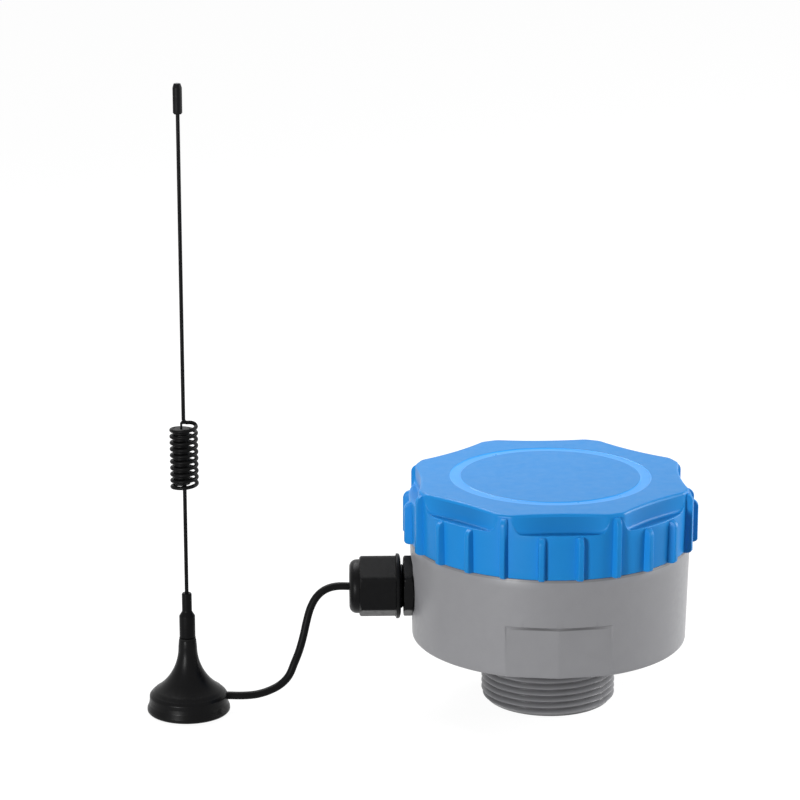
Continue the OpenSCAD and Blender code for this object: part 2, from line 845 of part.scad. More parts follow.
module foot_outline() {
    wall_r = wall_d / 2;
    flank_top = foot_h - throat_h;
    flank_x = foot_top_d / 2 + 0.25 + flank_r;
    shoulder_r = wall_r - 1.1;
    polygon([[0, 0.3], [rim_d / 2 - 0.6, 0.3], [rim_d / 2, 1], [rim_d / 2, 1.8],
             [wall_r, 4.2], [wall_r, wall_h - 0.4], [wall_r - 0.4, wall_h + 0.4],
             [shoulder_r, wall_h + 0.8], [0, wall_h + 0.8]]);
    difference() {
        polygon([[0, wall_h - 1], [shoulder_r, wall_h - 1], [shoulder_r, flank_top],
                 [flank_x - flank_r, flank_top], [foot_top_d / 2, foot_h], [0, foot_h]]);
        translate([flank_x, flank_top]) circle(flank_r);
    }
}

module antenna_base() {
    color("#161617")
    on_antenna()
        difference() {
            rotate_extrude() foot_outline();
            translate([0, 0, -over]) cylinder(d = rim_d - 3.2, h = pad_t + over);
            cylinder(d = magnet_d + 2 * fit_gap, h = pad_t + magnet_t + fit_gap);
            cylinder(d = stud_d + 2 * fit_gap, h = foot_h + over);
            translate([0, 0, lead_z]) rotate([0, 90, 0])
                cylinder(d = cable_d + 2 * fit_gap, h = rim_d);
        }
}

module magnet() {
    color("#8f9296")
    on_antenna(pad_t) cylinder(d = magnet_d, h = magnet_t);
}

module foot_pad() {
    color("#101010")
    on_antenna() cylinder(d = rim_d - 3.4, h = pad_t);
}

module base_stud() {
    color("#c8a24a")
    on_antenna(pad_t + magnet_t + fit_gap)
        cylinder(d = stud_d, h = foot_h + stud_l - pad_t - magnet_t - fit_gap);
}

// ----------------------------------------------------------------------- whip

module whip_gasket() {
    color("#0c0c0c")
    on_antenna(foot_h)
        difference() {
            cylinder(d = foot_top_d - 0.3, h = gasket_t - run_gap / 3);
            translate([0, 0, -over]) cylinder(d = stud_d + 2 * run_gap, h = gasket_t + 2 * over);
        }
}

module whip_ferrule() {
    cone_z = whip_z + ferrule_l;
    sleeve_z = cone_z + cone_l;
    color("#161617")
    on_antenna()
        difference() {
            rotate_extrude() polygon([
                [0, whip_z], [ferrule_d / 2, whip_z], [ferrule_d / 2, cone_z],
                [sleeve_d / 2, sleeve_z], [sleeve_d / 2, ferrule_top], [0, ferrule_top]]);
            translate([0, 0, whip_z - over])
                cylinder(d = stud_d + 2 * run_gap, h = stud_l - gasket_t + 1 + over);
            translate([0, 0, wire_foot])
                cylinder(d = wire_d + 2 * fit_gap, h = sleeve_l + over);
        }
}

// Spiral that leads the wire from the axis out to the coil, or back
function lead_out(z, share) =
    let (r = bend_r + (coil_r - bend_r) * sin(90 * share), a = 90 * (share - 1))
    [r * cos(a), r * sin(a), z];
function turned(p, a) = [p[0] * cos(a) - p[1] * sin(a), p[0] * sin(a) + p[1] * cos(a), p[2]];
function bend(z, a) = [bend_r * (1 - cos(a)), 0, z - bend_r * (1 - sin(a))];

whip_path = concat(
    [[0, 0, wire_foot]],
    [for (a = [0:22.5:90]) turned(bend(coil_z, a), coil_start - 90)],
    [for (s = [0.2:0.2:0.8]) turned(lead_out(coil_z, s), coil_start)],
    [for (i = [0:turn_steps * coil_turns])
        turned([coil_r, 0, coil_z + coil_pitch * i / turn_steps],
               coil_start + 360 * i / turn_steps)],
    [[coil_r * cos(20), coil_r * sin(20), coil_top + 0.35],
     [coil_r - 0.5, coil_r * sin(20) / 2, bar_z - 0.25],
     [coil_r - 1.4, 0.2, bar_z]],
    [for (a = [90:-22.5:0]) let (p = bend(0, a)) [p[0], p[1], bar_z - p[2]]],
    [[0, 0, tip_z - tip_l + wire_in_tip]]);

module whip_wire() {
    color("#141414")
    on_antenna() tube(whip_path, wire_d, 8, [0, 1, 0]);
}

module coil_core() {
    color("#101010")
    on_antenna()
        translate([core_x, 0, core_z])
            union() {
                cylinder(d = core_d, h = coil_top - core_z - wire_d / 2);
                cylinder(d = pin_d, h = bar_z - core_z);
            }
}

module whip_tip() {
    color("#161617")
    on_antenna(tip_z - tip_l)
        difference() {
            rotate_extrude() polygon([
                [0, 0], [tip_d / 2 - 0.4, 0], [tip_d / 2, 0.4], [tip_d / 2, tip_l - 1.4],
                [tip_d / 2 - 0.5, tip_l], [0, tip_l]]);
            translate([0, 0, -over])
                cylinder(d = wire_d + 2 * fit_gap, h = wire_in_tip + 2 * fit_gap + over);
        }
}

housing();
cover();
cover_seal();
radar_lens();
lens_seal();
lens_retainer();
horn();
horn_screws();
main_board();
radar_module();
radio_module();
coax_plug();
standoffs();
battery_holder();
holder_screws();
battery_cells();
battery_contacts();
gland_body();
gland_washer();
gland_locknut();
gland_seal();
gland_nut();
antenna_cable();
antenna_base();
magnet();
foot_pad();
base_stud();
whip_gasket();
whip_ferrule();
whip_wire();
coil_core();
whip_tip();
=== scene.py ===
"""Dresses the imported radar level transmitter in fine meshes, finishes and light."""

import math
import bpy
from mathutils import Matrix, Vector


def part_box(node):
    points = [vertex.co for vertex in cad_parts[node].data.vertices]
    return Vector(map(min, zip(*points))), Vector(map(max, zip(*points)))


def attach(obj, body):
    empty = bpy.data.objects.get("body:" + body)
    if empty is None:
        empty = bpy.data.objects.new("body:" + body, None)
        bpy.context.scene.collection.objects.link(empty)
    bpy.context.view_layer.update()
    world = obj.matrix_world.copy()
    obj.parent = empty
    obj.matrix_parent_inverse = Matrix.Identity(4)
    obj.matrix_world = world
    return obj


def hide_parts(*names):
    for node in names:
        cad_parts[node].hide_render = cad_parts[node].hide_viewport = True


bl_info = {
    "name": "Radar level transmitter",
    "version": (1, 0, 0),
    "blender": (4, 5, 0),
    "location": "3D View > Sidebar > Transmitter",
    "description": "Builds a radar level transmitter with its whip antenna",
    "category": "Object",
}

import bmesh
import bpy
import numpy as np
from bpy.props import FloatProperty, FloatVectorProperty, IntProperty, PointerProperty
from mathutils import Matrix, Vector

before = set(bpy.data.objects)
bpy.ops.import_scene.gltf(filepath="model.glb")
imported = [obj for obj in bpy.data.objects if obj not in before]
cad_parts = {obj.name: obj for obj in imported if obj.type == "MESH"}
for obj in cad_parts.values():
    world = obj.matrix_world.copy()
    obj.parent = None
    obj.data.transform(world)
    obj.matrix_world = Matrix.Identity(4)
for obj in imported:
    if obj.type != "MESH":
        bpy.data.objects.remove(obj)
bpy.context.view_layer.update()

MM = 0.001


def low(node, axis):
    """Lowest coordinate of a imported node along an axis, in millimetres."""
    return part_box(node)[0][axis] / MM


def high(node, axis):
    """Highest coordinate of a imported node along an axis, in millimetres."""
    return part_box(node)[1][axis] / MM


def middle(node, axis):
    return (low(node, axis) + high(node, axis)) / 2


# Heights and places in millimetres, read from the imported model
JOINT_Z = low("cover", 2)
COVER_TOP_Z = high("cover", 2)
COLLAR_TOP_Z = high("housing", 2)
GLAND_Z = middle("gland_body", 2)
SEAT_X = low("gland_washer", 0)
ANTENNA_X = middle("magnet", 0)
ANTENNA_Y = middle("magnet", 1)
FOOT_TOP_Z = high("antenna_base", 2)
FERRULE_Z = low("whip_ferrule", 2)
TIP_Z = high("whip_tip", 2)

# Heights that no packed box gives: the housing's underside above the neck, and the lead's
# middle where it leaves the foot
SHOULDER_Z = 23.6
LEAD_Z = 5.6


# ---------------- settings

def length(name, description, default_mm):
    return FloatProperty(name=name, description=description, default=default_mm * MM,
                         min=0.0, precision=5, unit="LENGTH")


def colour(name, description, *display):
    """A colour property whose default is given as a display colour."""
    return FloatVectorProperty(name=name, description=description, subtype="COLOR",
                               size=3, min=0.0, max=1.0, default=from_display(*display))


def power(name, description, watts):
    return FloatProperty(name=name, description=description, default=watts, min=0.0,
                         unit="POWER")


def from_display(red, green, blue):
    """Linear colour of a display colour given from 0 to 255."""
    def one(value):
        value /= 255
        return value / 12.92 if value <= 0.04045 else ((value + 0.055) / 1.055) ** 2.4
    return one(red), one(green), one(blue)


class CoverSettings(bpy.types.PropertyGroup):
    """Sizes and colour of the lobed screw cover."""
    lobes: IntProperty(name="Lobes", description="Number of grip lobes", default=8, min=5)
    scallop_reach: length("Scallop reach", "Distance of a scallop's middle from the axis",
                          46.0)
    scallop_radius: length("Scallop radius", "Radius of a scallop's hollow", 100.0)
    ledge_height: length("Ledge height", "Height of the ledges under the scallops", 75.7)
    ledge_fillet: length("Ledge fillet", "Fillet between ledge and scallop", 1.0)
    corner_round: length("Corner rounding", "Rounding of a scallop's lower corners", 3.3)
    skirt_radius: length("Skirt radius", "Radius of the skirt at its mouth", 49.8)
    lobe_radius: length("Lobe radius", "Radius over the lobes", 50.1)
    edge_round: length("Edge rounding", "Rounding of the top edge", 1.0)
    ring_radius: length("Ring radius", "Outer radius of the ring on top", 35.7)
    ring_width: length("Ring width", "Width of the ring on top", 4.0)
    ring_depth: length("Ring depth", "Depth of the ring on top", 0.25)
    rib_reach: length("Rib reach", "Radius over the grip ribs", 52.4)
    rib_width: length("Rib width", "Width of a grip rib at its foot", 2.8)
    tint: colour("Cover colour", "Colour of the moulded cover", 29, 137, 213)
    # lighter than the cover's tint: painted sheen for the polished ring's reflection
    ring_tint: colour("Ring colour", "Colour of the polished ring", 52, 162, 246)


class HousingSettings(bpy.types.PropertyGroup):
    """Sizes and colour of the housing with its process neck."""
    foot_radius: length("Foot radius", "Radius of the housing at its foot", 48.8)
    top_radius: length("Top radius", "Radius of the housing under the cover", 49.7)
    flats_reach: length("Flats", "Distance of the wrench flats from the axis", 47.4)
    flats_fillet: length("Flats fillet", "Fillet above the wrench flats", 1.4)
    flats_top: length("Flats top", "Height of the step above the wrench flats", 42.4)
    neck_radius: length("Neck radius", "Radius over the process thread", 23.9)
    neck_pitch: length("Neck pitch", "Pitch of the process thread", 2.309)
    neck_depth: length("Neck thread depth", "Depth of the process thread", 1.479)
    neck_chamfer: length("Neck chamfer", "Chamfer round the neck's end", 2.0)
    collar_pitch: length("Collar pitch", "Pitch of the cover's thread", 3.0)
    collar_depth: length("Collar thread depth", "Depth of the cover's thread", 1.0)
    tint: colour("Housing colour", "Colour of the moulded housing", 143, 143, 146)


class GlandSettings(bpy.types.PropertyGroup):
    """Sizes and colour of the cable gland."""
    across_flats: length("Across flats", "Width across flats of flange and nut", 19.9)
    corner_round: length("Corner rounding", "Rounding of the hexagon's corners", 0.5)
    dome_height: length("Dome height", "Height of the nut's dome", 3.6)
    dome_round: length("Dome rounding", "Rounding of the nut's dome", 2.6)
    tint: colour("Gland colour", "Colour of the moulded gland", 11, 11, 12)


class AntennaSettings(bpy.types.PropertyGroup):
    """Sizes and colours of the antenna and its lead."""
    wire_thickness: length("Wire", "Thickness of the whip's wire", 1.35)
    coil_radius: length("Coil radius", "Radius of the coil at the wire's middle", 4.325)
    coil_turns: FloatProperty(name="Turns", description="Turns of the coil", default=9.5,
                              min=2)
    coil_pitch: length("Coil pitch", "Rise of each turn", 2.265)
    coil_start: length("Coil start", "Height of the lowest turn", 83.3)
    lead_thickness: length("Lead", "Thickness of the antenna's lead", 2.8)
    foot_tint: colour("Foot colour", "Colour of the magnet foot", 11, 11, 12)
    wire_tint: colour("Wire colour", "Colour of the coated wire", 10, 10, 11)
    lead_tint: colour("Lead colour", "Colour of the lead's jacket", 11, 11, 12)


class StageSettings(bpy.types.PropertyGroup):
    """Camera, floor and lamps."""
    focal_length: FloatProperty(name="Focal length", description="Camera lens in millimetres",
                                default=139.0, min=20.0)
    distance: length("Camera distance", "Distance from the camera to what it looks at", 1085.5)
    front_power: power("Front lamp", "Power of the low lamp at the front, on the left", 15.8)
    side_power: power("Side lamp", "Power of the low lamp on the right", 37.0)
    top_power: power("Top lamp", "Power of the lamp above and behind", 3.35)
    sky: FloatProperty(name="Sky", description="Strength of the light from all round",
                       default=0.2, min=0.0)


# ---------------- mesh tools

def turn(count):
    """Evenly spaced angles round a full turn."""
    return np.arange(count) * (2 * math.pi / count)


class Rings(list):
    """Rings of points round the Z axis, in millimetres, from the first to the last."""

    def __init__(self, angles):
        super().__init__()
        self.angles = angles

    def add(self, radius, height):
        """One ring; radius and height may differ from point to point."""
        radius = np.broadcast_to(radius, self.angles.shape)
        height = np.broadcast_to(height, self.angles.shape)
        self.append(np.stack([radius * np.cos(self.angles), radius * np.sin(self.angles),
                              height], axis=1))

    def follow(self, outline):
        """A ring for each (radius, height) point of an outline."""
        for radius, height in outline:
            self.add(radius, height)


def rounded(corners, steps=5):
    """Outline through (x, y, radius) corners, with each corner rounded."""
    points = []
    for i, (x, y, radius) in enumerate(corners):
        here = Vector((x, y))
        if radius == 0 or i in (0, len(corners) - 1):
            points.append((x, y))
            continue
        back = Vector(corners[i - 1][:2]) - here
        ahead = Vector(corners[i + 1][:2]) - here
        half = back.angle(ahead) / 2
        reach = min(radius / math.tan(half), 0.49 * back.length, 0.49 * ahead.length)
        back.normalize()
        ahead.normalize()
        radius = reach * math.tan(half)
        centre = here + (back + ahead).normalized() * radius / math.sin(half)
        start = here + back * reach - centre
        end = here + ahead * reach - centre
        sweep = start.angle(end)
        for step in range(steps + 1):
            share = step / steps
            spoke = (start * math.sin((1 - share) * sweep)
                     + end * math.sin(share * sweep)) / math.sin(sweep)
            points.append(tuple(centre + spoke))
    return points


def arc(cx, cy, radius, start, end, steps):
    """Points of an arc, angles in degrees."""
    sweep = np.radians(np.linspace(start, end, steps + 1))
    return [(cx + radius * math.cos(a), cy + radius * math.sin(a)) for a in sweep]


def bezier(points, t):
    """The point at a share t of the curve over some control points."""
    while len(points) > 1:
        points = [(1 - t) * a + t * b for a, b in zip(points, points[1:])]
    return points[0]


def finish_mesh(mesh, smooth_degrees):
    """Merges doubled points, turns the faces outwards and sets the shading."""
    work = bmesh.new()
    work.from_mesh(mesh)
    bmesh.ops.remove_doubles(work, verts=work.verts, dist=2e-6)
    bmesh.ops.dissolve_degenerate(work, edges=work.edges, dist=1e-7)
    bmesh.ops.recalc_face_normals(work, faces=work.faces)
    work.to_mesh(mesh)
    work.free()
    mesh.polygons.foreach_set("use_smooth", [True] * len(mesh.polygons))
    mesh.set_sharp_from_angle(angle=math.radians(smooth_degrees))
    mesh.update()


def add_object(name, data):
    """Adds an object to the scene, at the origin."""
    piece = bpy.data.objects.new(name, data)
    bpy.context.scene.collection.objects.link(piece)
    return piece


def skin(name, rings, smooth_degrees):
    """A closed mesh through rings of equally many points, in millimetres."""
    count = len(rings[0])
    here = np.arange(count)
    after = (here + 1) % count
    faces = np.concatenate([
        np.stack([i * count + here, i * count + after,
                  (i + 1) * count + after, (i + 1) * count + here], axis=1)
        for i in range(len(rings) - 1)])
    mesh = bpy.data.meshes.new(name)
    mesh.from_pydata((np.concatenate(rings) * MM).tolist(), [], faces.tolist())
    finish_mesh(mesh, smooth_degrees)
    return add_object(name, mesh)


def lathe(name, outline, sides=128, smooth_degrees=35):
    """A turned piece from an outline of (radius, height) points that starts and ends on
    the axis, or ends where it starts."""
    rings = Rings(turn(sides))
    rings.follow(outline)
    return skin(name, rings, smooth_degrees)


def place(piece, matrix):
    """Moves a piece's mesh and leaves its object at the origin."""
    piece.data.transform(matrix)
    piece.data.update()
    return piece


def at_antenna():
    """Puts the Z axis on the antenna's."""
    return Matrix.Translation((ANTENNA_X * MM, ANTENNA_Y * MM, 0))


def sideways(x, z):
    """Lays the Z axis along X through a place (x, 0, z) of the antenna."""
    return (at_antenna() @ Matrix.Translation((x * MM, 0, z * MM))
            @ Matrix.Rotation(math.pi / 2, 4, "Y"))


def on_gland():
    """Puts +Z on the gland's axis, pointing out of the housing from its seat."""
    return Matrix(((0, 0, -1, SEAT_X * MM), (0, 1, 0, 0), (1, 0, 0, GLAND_Z * MM),
                   (0, 0, 0, 1)))


def evaluated_mesh(piece):
    """A plain mesh of the piece with its modifiers applied."""
    graph = bpy.context.evaluated_depsgraph_get()
    return bpy.data.meshes.new_from_object(piece.evaluated_get(graph))


def cut(piece, cutter):
    """Takes the cutter away from the piece with one exact boolean."""
    modifier = piece.modifiers.new("Cut", "BOOLEAN")
    modifier.operation = "DIFFERENCE"
    modifier.solver = "EXACT"
    modifier.object = cutter
    mesh = evaluated_mesh(piece)
    piece.modifiers.clear()
    piece.data = mesh
    bpy.data.objects.remove(cutter)


def join(piece, other):
    """Adds the other piece's mesh to a piece."""
    work = bmesh.new()
    for part in (piece, other):
        work.from_mesh(part.data)
    work.to_mesh(piece.data)
    work.free()
    bpy.data.objects.remove(other)


def soft_min(a, b, blend):
    """The smaller of two lengths, with a rounded change from one to the other."""
    share = np.clip(0.5 + 0.5 * (b - a) / blend, 0, 1)
    return b * (1 - share) + a * share - blend * share * (1 - share)


def dress(piece, body, material, slot, *nodes):
    """Gives a finished piece its material and body, and hides the imported nodes that it
    replaces.
    """
    piece.data.materials.clear()
    piece.data.materials.append(material)
    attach(piece, body)
    if nodes:
        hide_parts(*nodes)


# ---------------- node helpers

def put(tree, kind, inputs=(), **settings):
    """Adds a node. Each input gets a constant, or a link to a socket or to the first
    output of a node."""
    node = tree.nodes.new(kind)
    for key, value in settings.items():
        setattr(node, key, value)
    for key, value in dict(inputs).items():
        if isinstance(value, bpy.types.Node):
            value = value.outputs[0]
        if isinstance(value, bpy.types.NodeSocket):
            tree.links.new(value, node.inputs[key])
        else:
            node.inputs[key].default_value = value
    return node


def background_rays(tree):
    """A value of 1 where a ray from the camera, a gloss or a glass arrives, else 0."""
    path = put(tree, "ShaderNodeLightPath")
    seen = path.outputs["Is Camera Ray"]
    for ray in ("Is Glossy Ray", "Is Transmission Ray"):
        seen = put(tree, "ShaderNodeMath", {0: seen, 1: path.outputs[ray]},
                   operation="MAXIMUM")
    return seen


# ---------------- materials

class Finish:
    """A Principled material whose tint, roughness and grain vary over the surface."""

    def __init__(self, name, tint, roughness, sockets):
        self.material = bpy.data.materials.new(name)
        self.material.use_nodes = True
        self.tree = self.material.node_tree
        self.shader = self.tree.nodes["Principled BSDF"]
        self.colour = (*tint, 1.0)
        self.roughness = roughness
        self.place = self.node("ShaderNodeTexCoord").outputs["Object"]
        constants = {"Base Color": self.colour, "Roughness": roughness, **sockets}
        for socket, value in constants.items():
            self.shader.inputs[socket].default_value = value

    def node(self, kind, inputs=(), **settings):
        return put(self.tree, kind, inputs, **settings)

    def give(self, node, socket, output=0):
        """Links a node to a socket of the shader."""
        self.tree.links.new(node.outputs[output], self.shader.inputs[socket])

    def noise(self, size_mm, detail, stretch=(1, 1, 1)):
        """A noise whose grains are about size_mm across."""
        mapping = self.node("ShaderNodeMapping", {"Scale": stretch, "Vector": self.place})
        return self.node("ShaderNodeTexNoise", {
            "Scale": 1 / (size_mm * MM), "Detail": detail, "Vector": mapping})

    def spread(self, value, low_out, high_out, low_in=0.3, high_in=0.7):
        """Maps a value from one range to another and keeps it inside."""
        return self.node("ShaderNodeMapRange", {
            "Value": value, "From Min": low_in, "From Max": high_in,
            "To Min": low_out, "To Max": high_out})

    def shade(self, factor):
        """Multiplies the colour by a factor."""
        mix = self.node("ShaderNodeMix", {"Factor": 1.0, 6: self.colour, 7: factor},
                        data_type="RGBA", blend_type="MULTIPLY")
        self.colour = mix.outputs[2]
        self.give(mix, "Base Color", 2)

    def vary_tint(self, size_mm, share):
        """Lightens and darkens the tint by a share of itself."""
        self.shade(self.spread(self.noise(size_mm, 4.0), 1 - share, 1 + share))

    def vary_roughness(self, size_mm, spread, stretch=(1, 1, 1)):
        self.give(self.spread(self.noise(size_mm, 3.0, stretch), self.roughness - spread,
                              self.roughness + spread), "Roughness")

    def grain(self, size_mm, depth_mm, stretch=(1, 1, 1)):
        """Fine relief on the surface."""
        self.give(self.node("ShaderNodeBump", {
            "Strength": 1.0, "Distance": depth_mm * MM,
            "Height": self.noise(size_mm, 2.0, stretch)}), "Normal")

    def paint_shade_in_hollows(self, root_mm, crest_mm, bottom_mm, top_mm, share):
        """Paints shade into the colour: darkens the deep places between two heights, where
        shade falls, down to a share of the colour. Depth is measured by the distance from the
        Z axis, from a crest to a root."""
        x, y, height = self.node("ShaderNodeSeparateXYZ", {0: self.place}).outputs
        flat = self.node("ShaderNodeCombineXYZ", {0: x, 1: y})
        radius = self.node("ShaderNodeVectorMath", {0: flat}, operation="LENGTH")
        factor = self.spread(radius.outputs["Value"], share, 1.0, root_mm * MM, crest_mm * MM)
        for clear in (self.spread(height, 1.0, 0.0, (bottom_mm - 0.5) * MM, bottom_mm * MM),
                      self.spread(height, 0.0, 1.0, (top_mm - 0.3) * MM, top_mm * MM)):
            factor = self.node("ShaderNodeMath", {0: factor, 1: clear}, operation="MAXIMUM")
        self.shade(factor)


def gloss(level):
    return {"Specular IOR Level": level}


METAL = {"Metallic": 1.0}
MILKY = {"Subsurface Weight": 0.15, "Subsurface Radius": (0.002, 0.002, 0.002),
         "Subsurface Scale": 1.0}
DRAWN = (1, 1, 6)

# Tint, or the settings that hold it; roughness; other sockets; then the size in
# millimetres and the strength of what varies in tint, in roughness and in relief
FINISHES = {
    "cover_plastic": ("cover.tint", 0.36, gloss(0.17), (9, 0.012), (3, 0.04), (0.35, 0.012)),
    # the ring's lighter tint is painted sheen; its lower roughness and stronger gloss are the
    # real polish
    "ring_plastic": ("cover.ring_tint", 0.3, gloss(0.22), (7, 0.02), (4, 0.03), (0.8, 0.004)),
    "housing_plastic": ("housing.tint", 0.38, gloss(0.35), (5, 0.02), (2, 0.05), (0.3, 0.014)),
    "gland_nylon": ("gland.tint", 0.36, gloss(0.09), (3, 0.12), (1.5, 0.06), (0.25, 0.01)),
    "foot_lacquer": ("antenna.foot_tint", 0.34, gloss(0.09), (2, 0.1), (1.2, 0.05),
                     (0.22, 0.008)),
    "wire_lacquer": ("antenna.wire_tint", 0.4, gloss(0.07), (2, 0.15), (1, 0.06),
                     (0.18, 0.006)),
    "lead_jacket": ("antenna.lead_tint", 0.42, gloss(0.08), (4, 0.1), (2, 0.06), (0.3, 0.01)),
    "core_plastic": ((14, 14, 15), 0.5, gloss(0.1), (1.5, 0.12), (1, 0.05), (0.2, 0.008)),
    "seal_rubber": ((16, 16, 16), 0.62, gloss(0.1), (1.5, 0.15), (1, 0.06), (0.15, 0.01)),
    "lens_ptfe": ((236, 236, 232), 0.4, MILKY, (4, 0.015), (2, 0.04), (0.3, 0.006)),
    "cast_aluminium": ((205, 207, 210), 0.36, METAL, (2, 0.05), (0.8, 0.08), (0.2, 0.01)),
    "bright_steel": ((190, 190, 192), 0.3, METAL, (1.5, 0.06), (0.6, 0.08, DRAWN),
                     (0.15, 0.005, DRAWN)),
    "turned_brass": ((205, 170, 105), 0.28, METAL, (1.5, 0.06), (0.6, 0.06), (0.15, 0.005)),
    "board_lacquer": ((28, 92, 52), 0.3, {}, (2, 0.18), (1.5, 0.08), (0.5, 0.02)),
    "holder_plastic": ((42, 42, 44), 0.5, {}, (3, 0.1), (1.5, 0.06), (0.3, 0.012)),
    "cell_sleeve": ((214, 210, 198), 0.3, {"Coat Weight": 0.3}, (6, 0.04), (3, 0.05),
                    (0.8, 0.01)),
}

# Painted shade in hollows and under overhangs: radius of a root and of a crest, lowest and
# highest place, and the share of the colour that is left. The housing's last row lies past
# every radius, so it paints shade over the whole wall that the cover's mouth shades.
PAINTED_SHADE = {
    # painted shade in the scallops, below the top's rounded edge
    "cover_plastic": ((46.2, 49.4, 76.1, COVER_TOP_Z - 1.0, 0.8),),
    # painted shade in the roots of the neck's thread, below the housing's underside
    "housing_plastic": ((22.1, 23.8, -1.0, SHOULDER_Z, 0.2),
                        # painted shade in the fillet above the wrench flats, under the step
                        (47.3, 48.6, 41.3, 42.6, 0.35),
                        # painted shadow of the cover's mouth on the wall just under it
                        (60, 61, JOINT_Z - 0.5, JOINT_Z + 0.2, 0.75)),
}

MATERIALS = {}


def finish_of(name):
    """The finish with that name, made once from the table and the scene's settings."""
    if name not in MATERIALS:
        tint, roughness, sockets, tint_spread, roughness_spread, relief = FINISHES[name]
        if isinstance(tint, str):
            group, key = tint.split(".")
            tint = getattr(getattr(bpy.context.scene, "transmitter_" + group), key)
        else:
            tint = from_display(*tint)
        finish = Finish(name, tint, roughness, sockets)
        finish.vary_tint(*tint_spread)
        finish.vary_roughness(*roughness_spread)
        finish.grain(*relief)
        # paints shade into the hollows and under the overhangs listed in the table above
        for shade_zone in PAINTED_SHADE.get(name, ()):
            finish.paint_shade_in_hollows(*shade_zone)
        MATERIALS[name] = finish.material
    return MATERIALS[name]


# ---------------- node machines

def node_tree(name, inputs):
    """A geometry tree with named inputs, and the sockets that give them."""
    tree = bpy.data.node_groups.new(name, "GeometryNodeTree")
    tree.interface.new_socket("Geometry", in_out="INPUT", socket_type="NodeSocketGeometry")
    for label, kind in inputs:
        tree.interface.new_socket(label, in_out="INPUT", socket_type="NodeSocket" + kind)
    tree.interface.new_socket("Geometry", in_out="OUTPUT", socket_type="NodeSocketGeometry")
    return tree, put(tree, "NodeGroupInput").outputs


def end_tree(tree, geometry, material):
    """Turns instances into a mesh, gives it its material and leads it out."""
    realize = put(tree, "GeometryNodeRealizeInstances", {"Geometry": geometry})
    paint = put(tree, "GeometryNodeSetMaterial", {"Geometry": realize, "Material": material})
    put(tree, "NodeGroupOutput", {"Geometry": paint})
    return tree


def run_tree(piece, tree, values):
    """Evaluates a tree on a piece and leaves a plain mesh."""
    modifier = piece.modifiers.new(tree.name, "NODES")
    modifier.node_group = tree
    for item in tree.interface.items_tree:
        if item.in_out == "INPUT" and item.name in values:
            modifier[item.identifier] = values[item.name]
    name = piece.name
    made = add_object(name + "_made", evaluated_mesh(piece))
    bpy.data.objects.remove(piece)
    made.name = name
    return made


def sweep_tree():
    """Curve to round wire: follows the path and closes its ends."""
    tree, given = node_tree("Wire along a path", (
        ("Wire radius", "Float"), ("Sides", "Int"), ("Material", "Material")))
    circle = put(tree, "GeometryNodeCurvePrimitiveCircle", {
        "Radius": given["Wire radius"], "Resolution": given["Sides"]})
    sweep = put(tree, "GeometryNodeCurveToMesh", {
        "Curve": given["Geometry"], "Profile Curve": circle, "Fill Caps": True})
    smooth = put(tree, "GeometryNodeSetShadeSmooth", {"Geometry": sweep})
    return end_tree(tree, smooth, given["Material"])


def rib_tree():
    """Ribs round the Z axis: every third one is tall, the others are short."""
    tree, given = node_tree("Ribs round the skirt", (
        ("Count", "Int"), ("First angle", "Float"), ("Tall rib", "Object"),
        ("Short rib", "Object"), ("Material", "Material")))

    def maths(operation, *values):
        return put(tree, "ShaderNodeMath", enumerate(values), operation=operation)

    points = put(tree, "GeometryNodePoints", {"Count": given["Count"]})
    index = put(tree, "GeometryNodeInputIndex")
    angle = maths("MULTIPLY_ADD", maths("DIVIDE", index, given["Count"]), 2 * math.pi,
                  given["First angle"])
    turned = put(tree, "ShaderNodeCombineXYZ", {"Z": angle})
    third = maths("MODULO", index, 3.0)
    both = put(tree, "GeometryNodeJoinGeometry")
    for label, operation in (("Tall rib", "LESS_THAN"), ("Short rib", "GREATER_THAN")):
        source = put(tree, "GeometryNodeObjectInfo", {"Object": given[label]})
        placed = put(tree, "GeometryNodeInstanceOnPoints", {
            "Points": points, "Selection": maths(operation, third, 0.5),
            "Instance": source.outputs["Geometry"], "Rotation": turned.outputs[0]})
        tree.links.new(placed.outputs["Instances"], both.inputs["Geometry"])
    return end_tree(tree, both, given["Material"])


def path_curve(name, points):
    """A curve of one open spline through points in millimetres."""
    curve = bpy.data.curves.new(name, "CURVE")
    curve.dimensions = "3D"
    spline = curve.splines.new("POLY")
    spline.points.add(len(points) - 1)
    for knot, point in zip(spline.points, points):
        knot.co = (*(Vector(point) * MM), 1.0)
    return add_object(name, curve)


# ---------------- stage

def pointing(azimuth, elevation):
    """Unit vector from degrees of azimuth, counted from the front to the right, and of
    elevation."""
    a, e = math.radians(azimuth), math.radians(elevation)
    return Vector((math.sin(a) * math.cos(e), -math.cos(a) * math.cos(e), math.sin(e)))


def aim(name, data, target, away, distance):
    """Adds a camera or a lamp that looks at a target from a distance."""
    looker = add_object(name, data)
    looker.location = target + away * distance
    looker.rotation_euler = away.to_track_quat("Z", "Y").to_euler()
    return looker


def empty_tree(owner):
    """The node tree of a material or a world, without nodes."""
    owner.use_nodes = True
    owner.node_tree.nodes.clear()
    return owner.node_tree


def split_rays(tree, unseen, seen, output):
    """Shows one surface to the background rays and another to all the other rays."""
    put(tree, output, {"Surface": put(tree, "ShaderNodeMixShader", {
        "Fac": background_rays(tree), 1: unseen, 2: seen})})


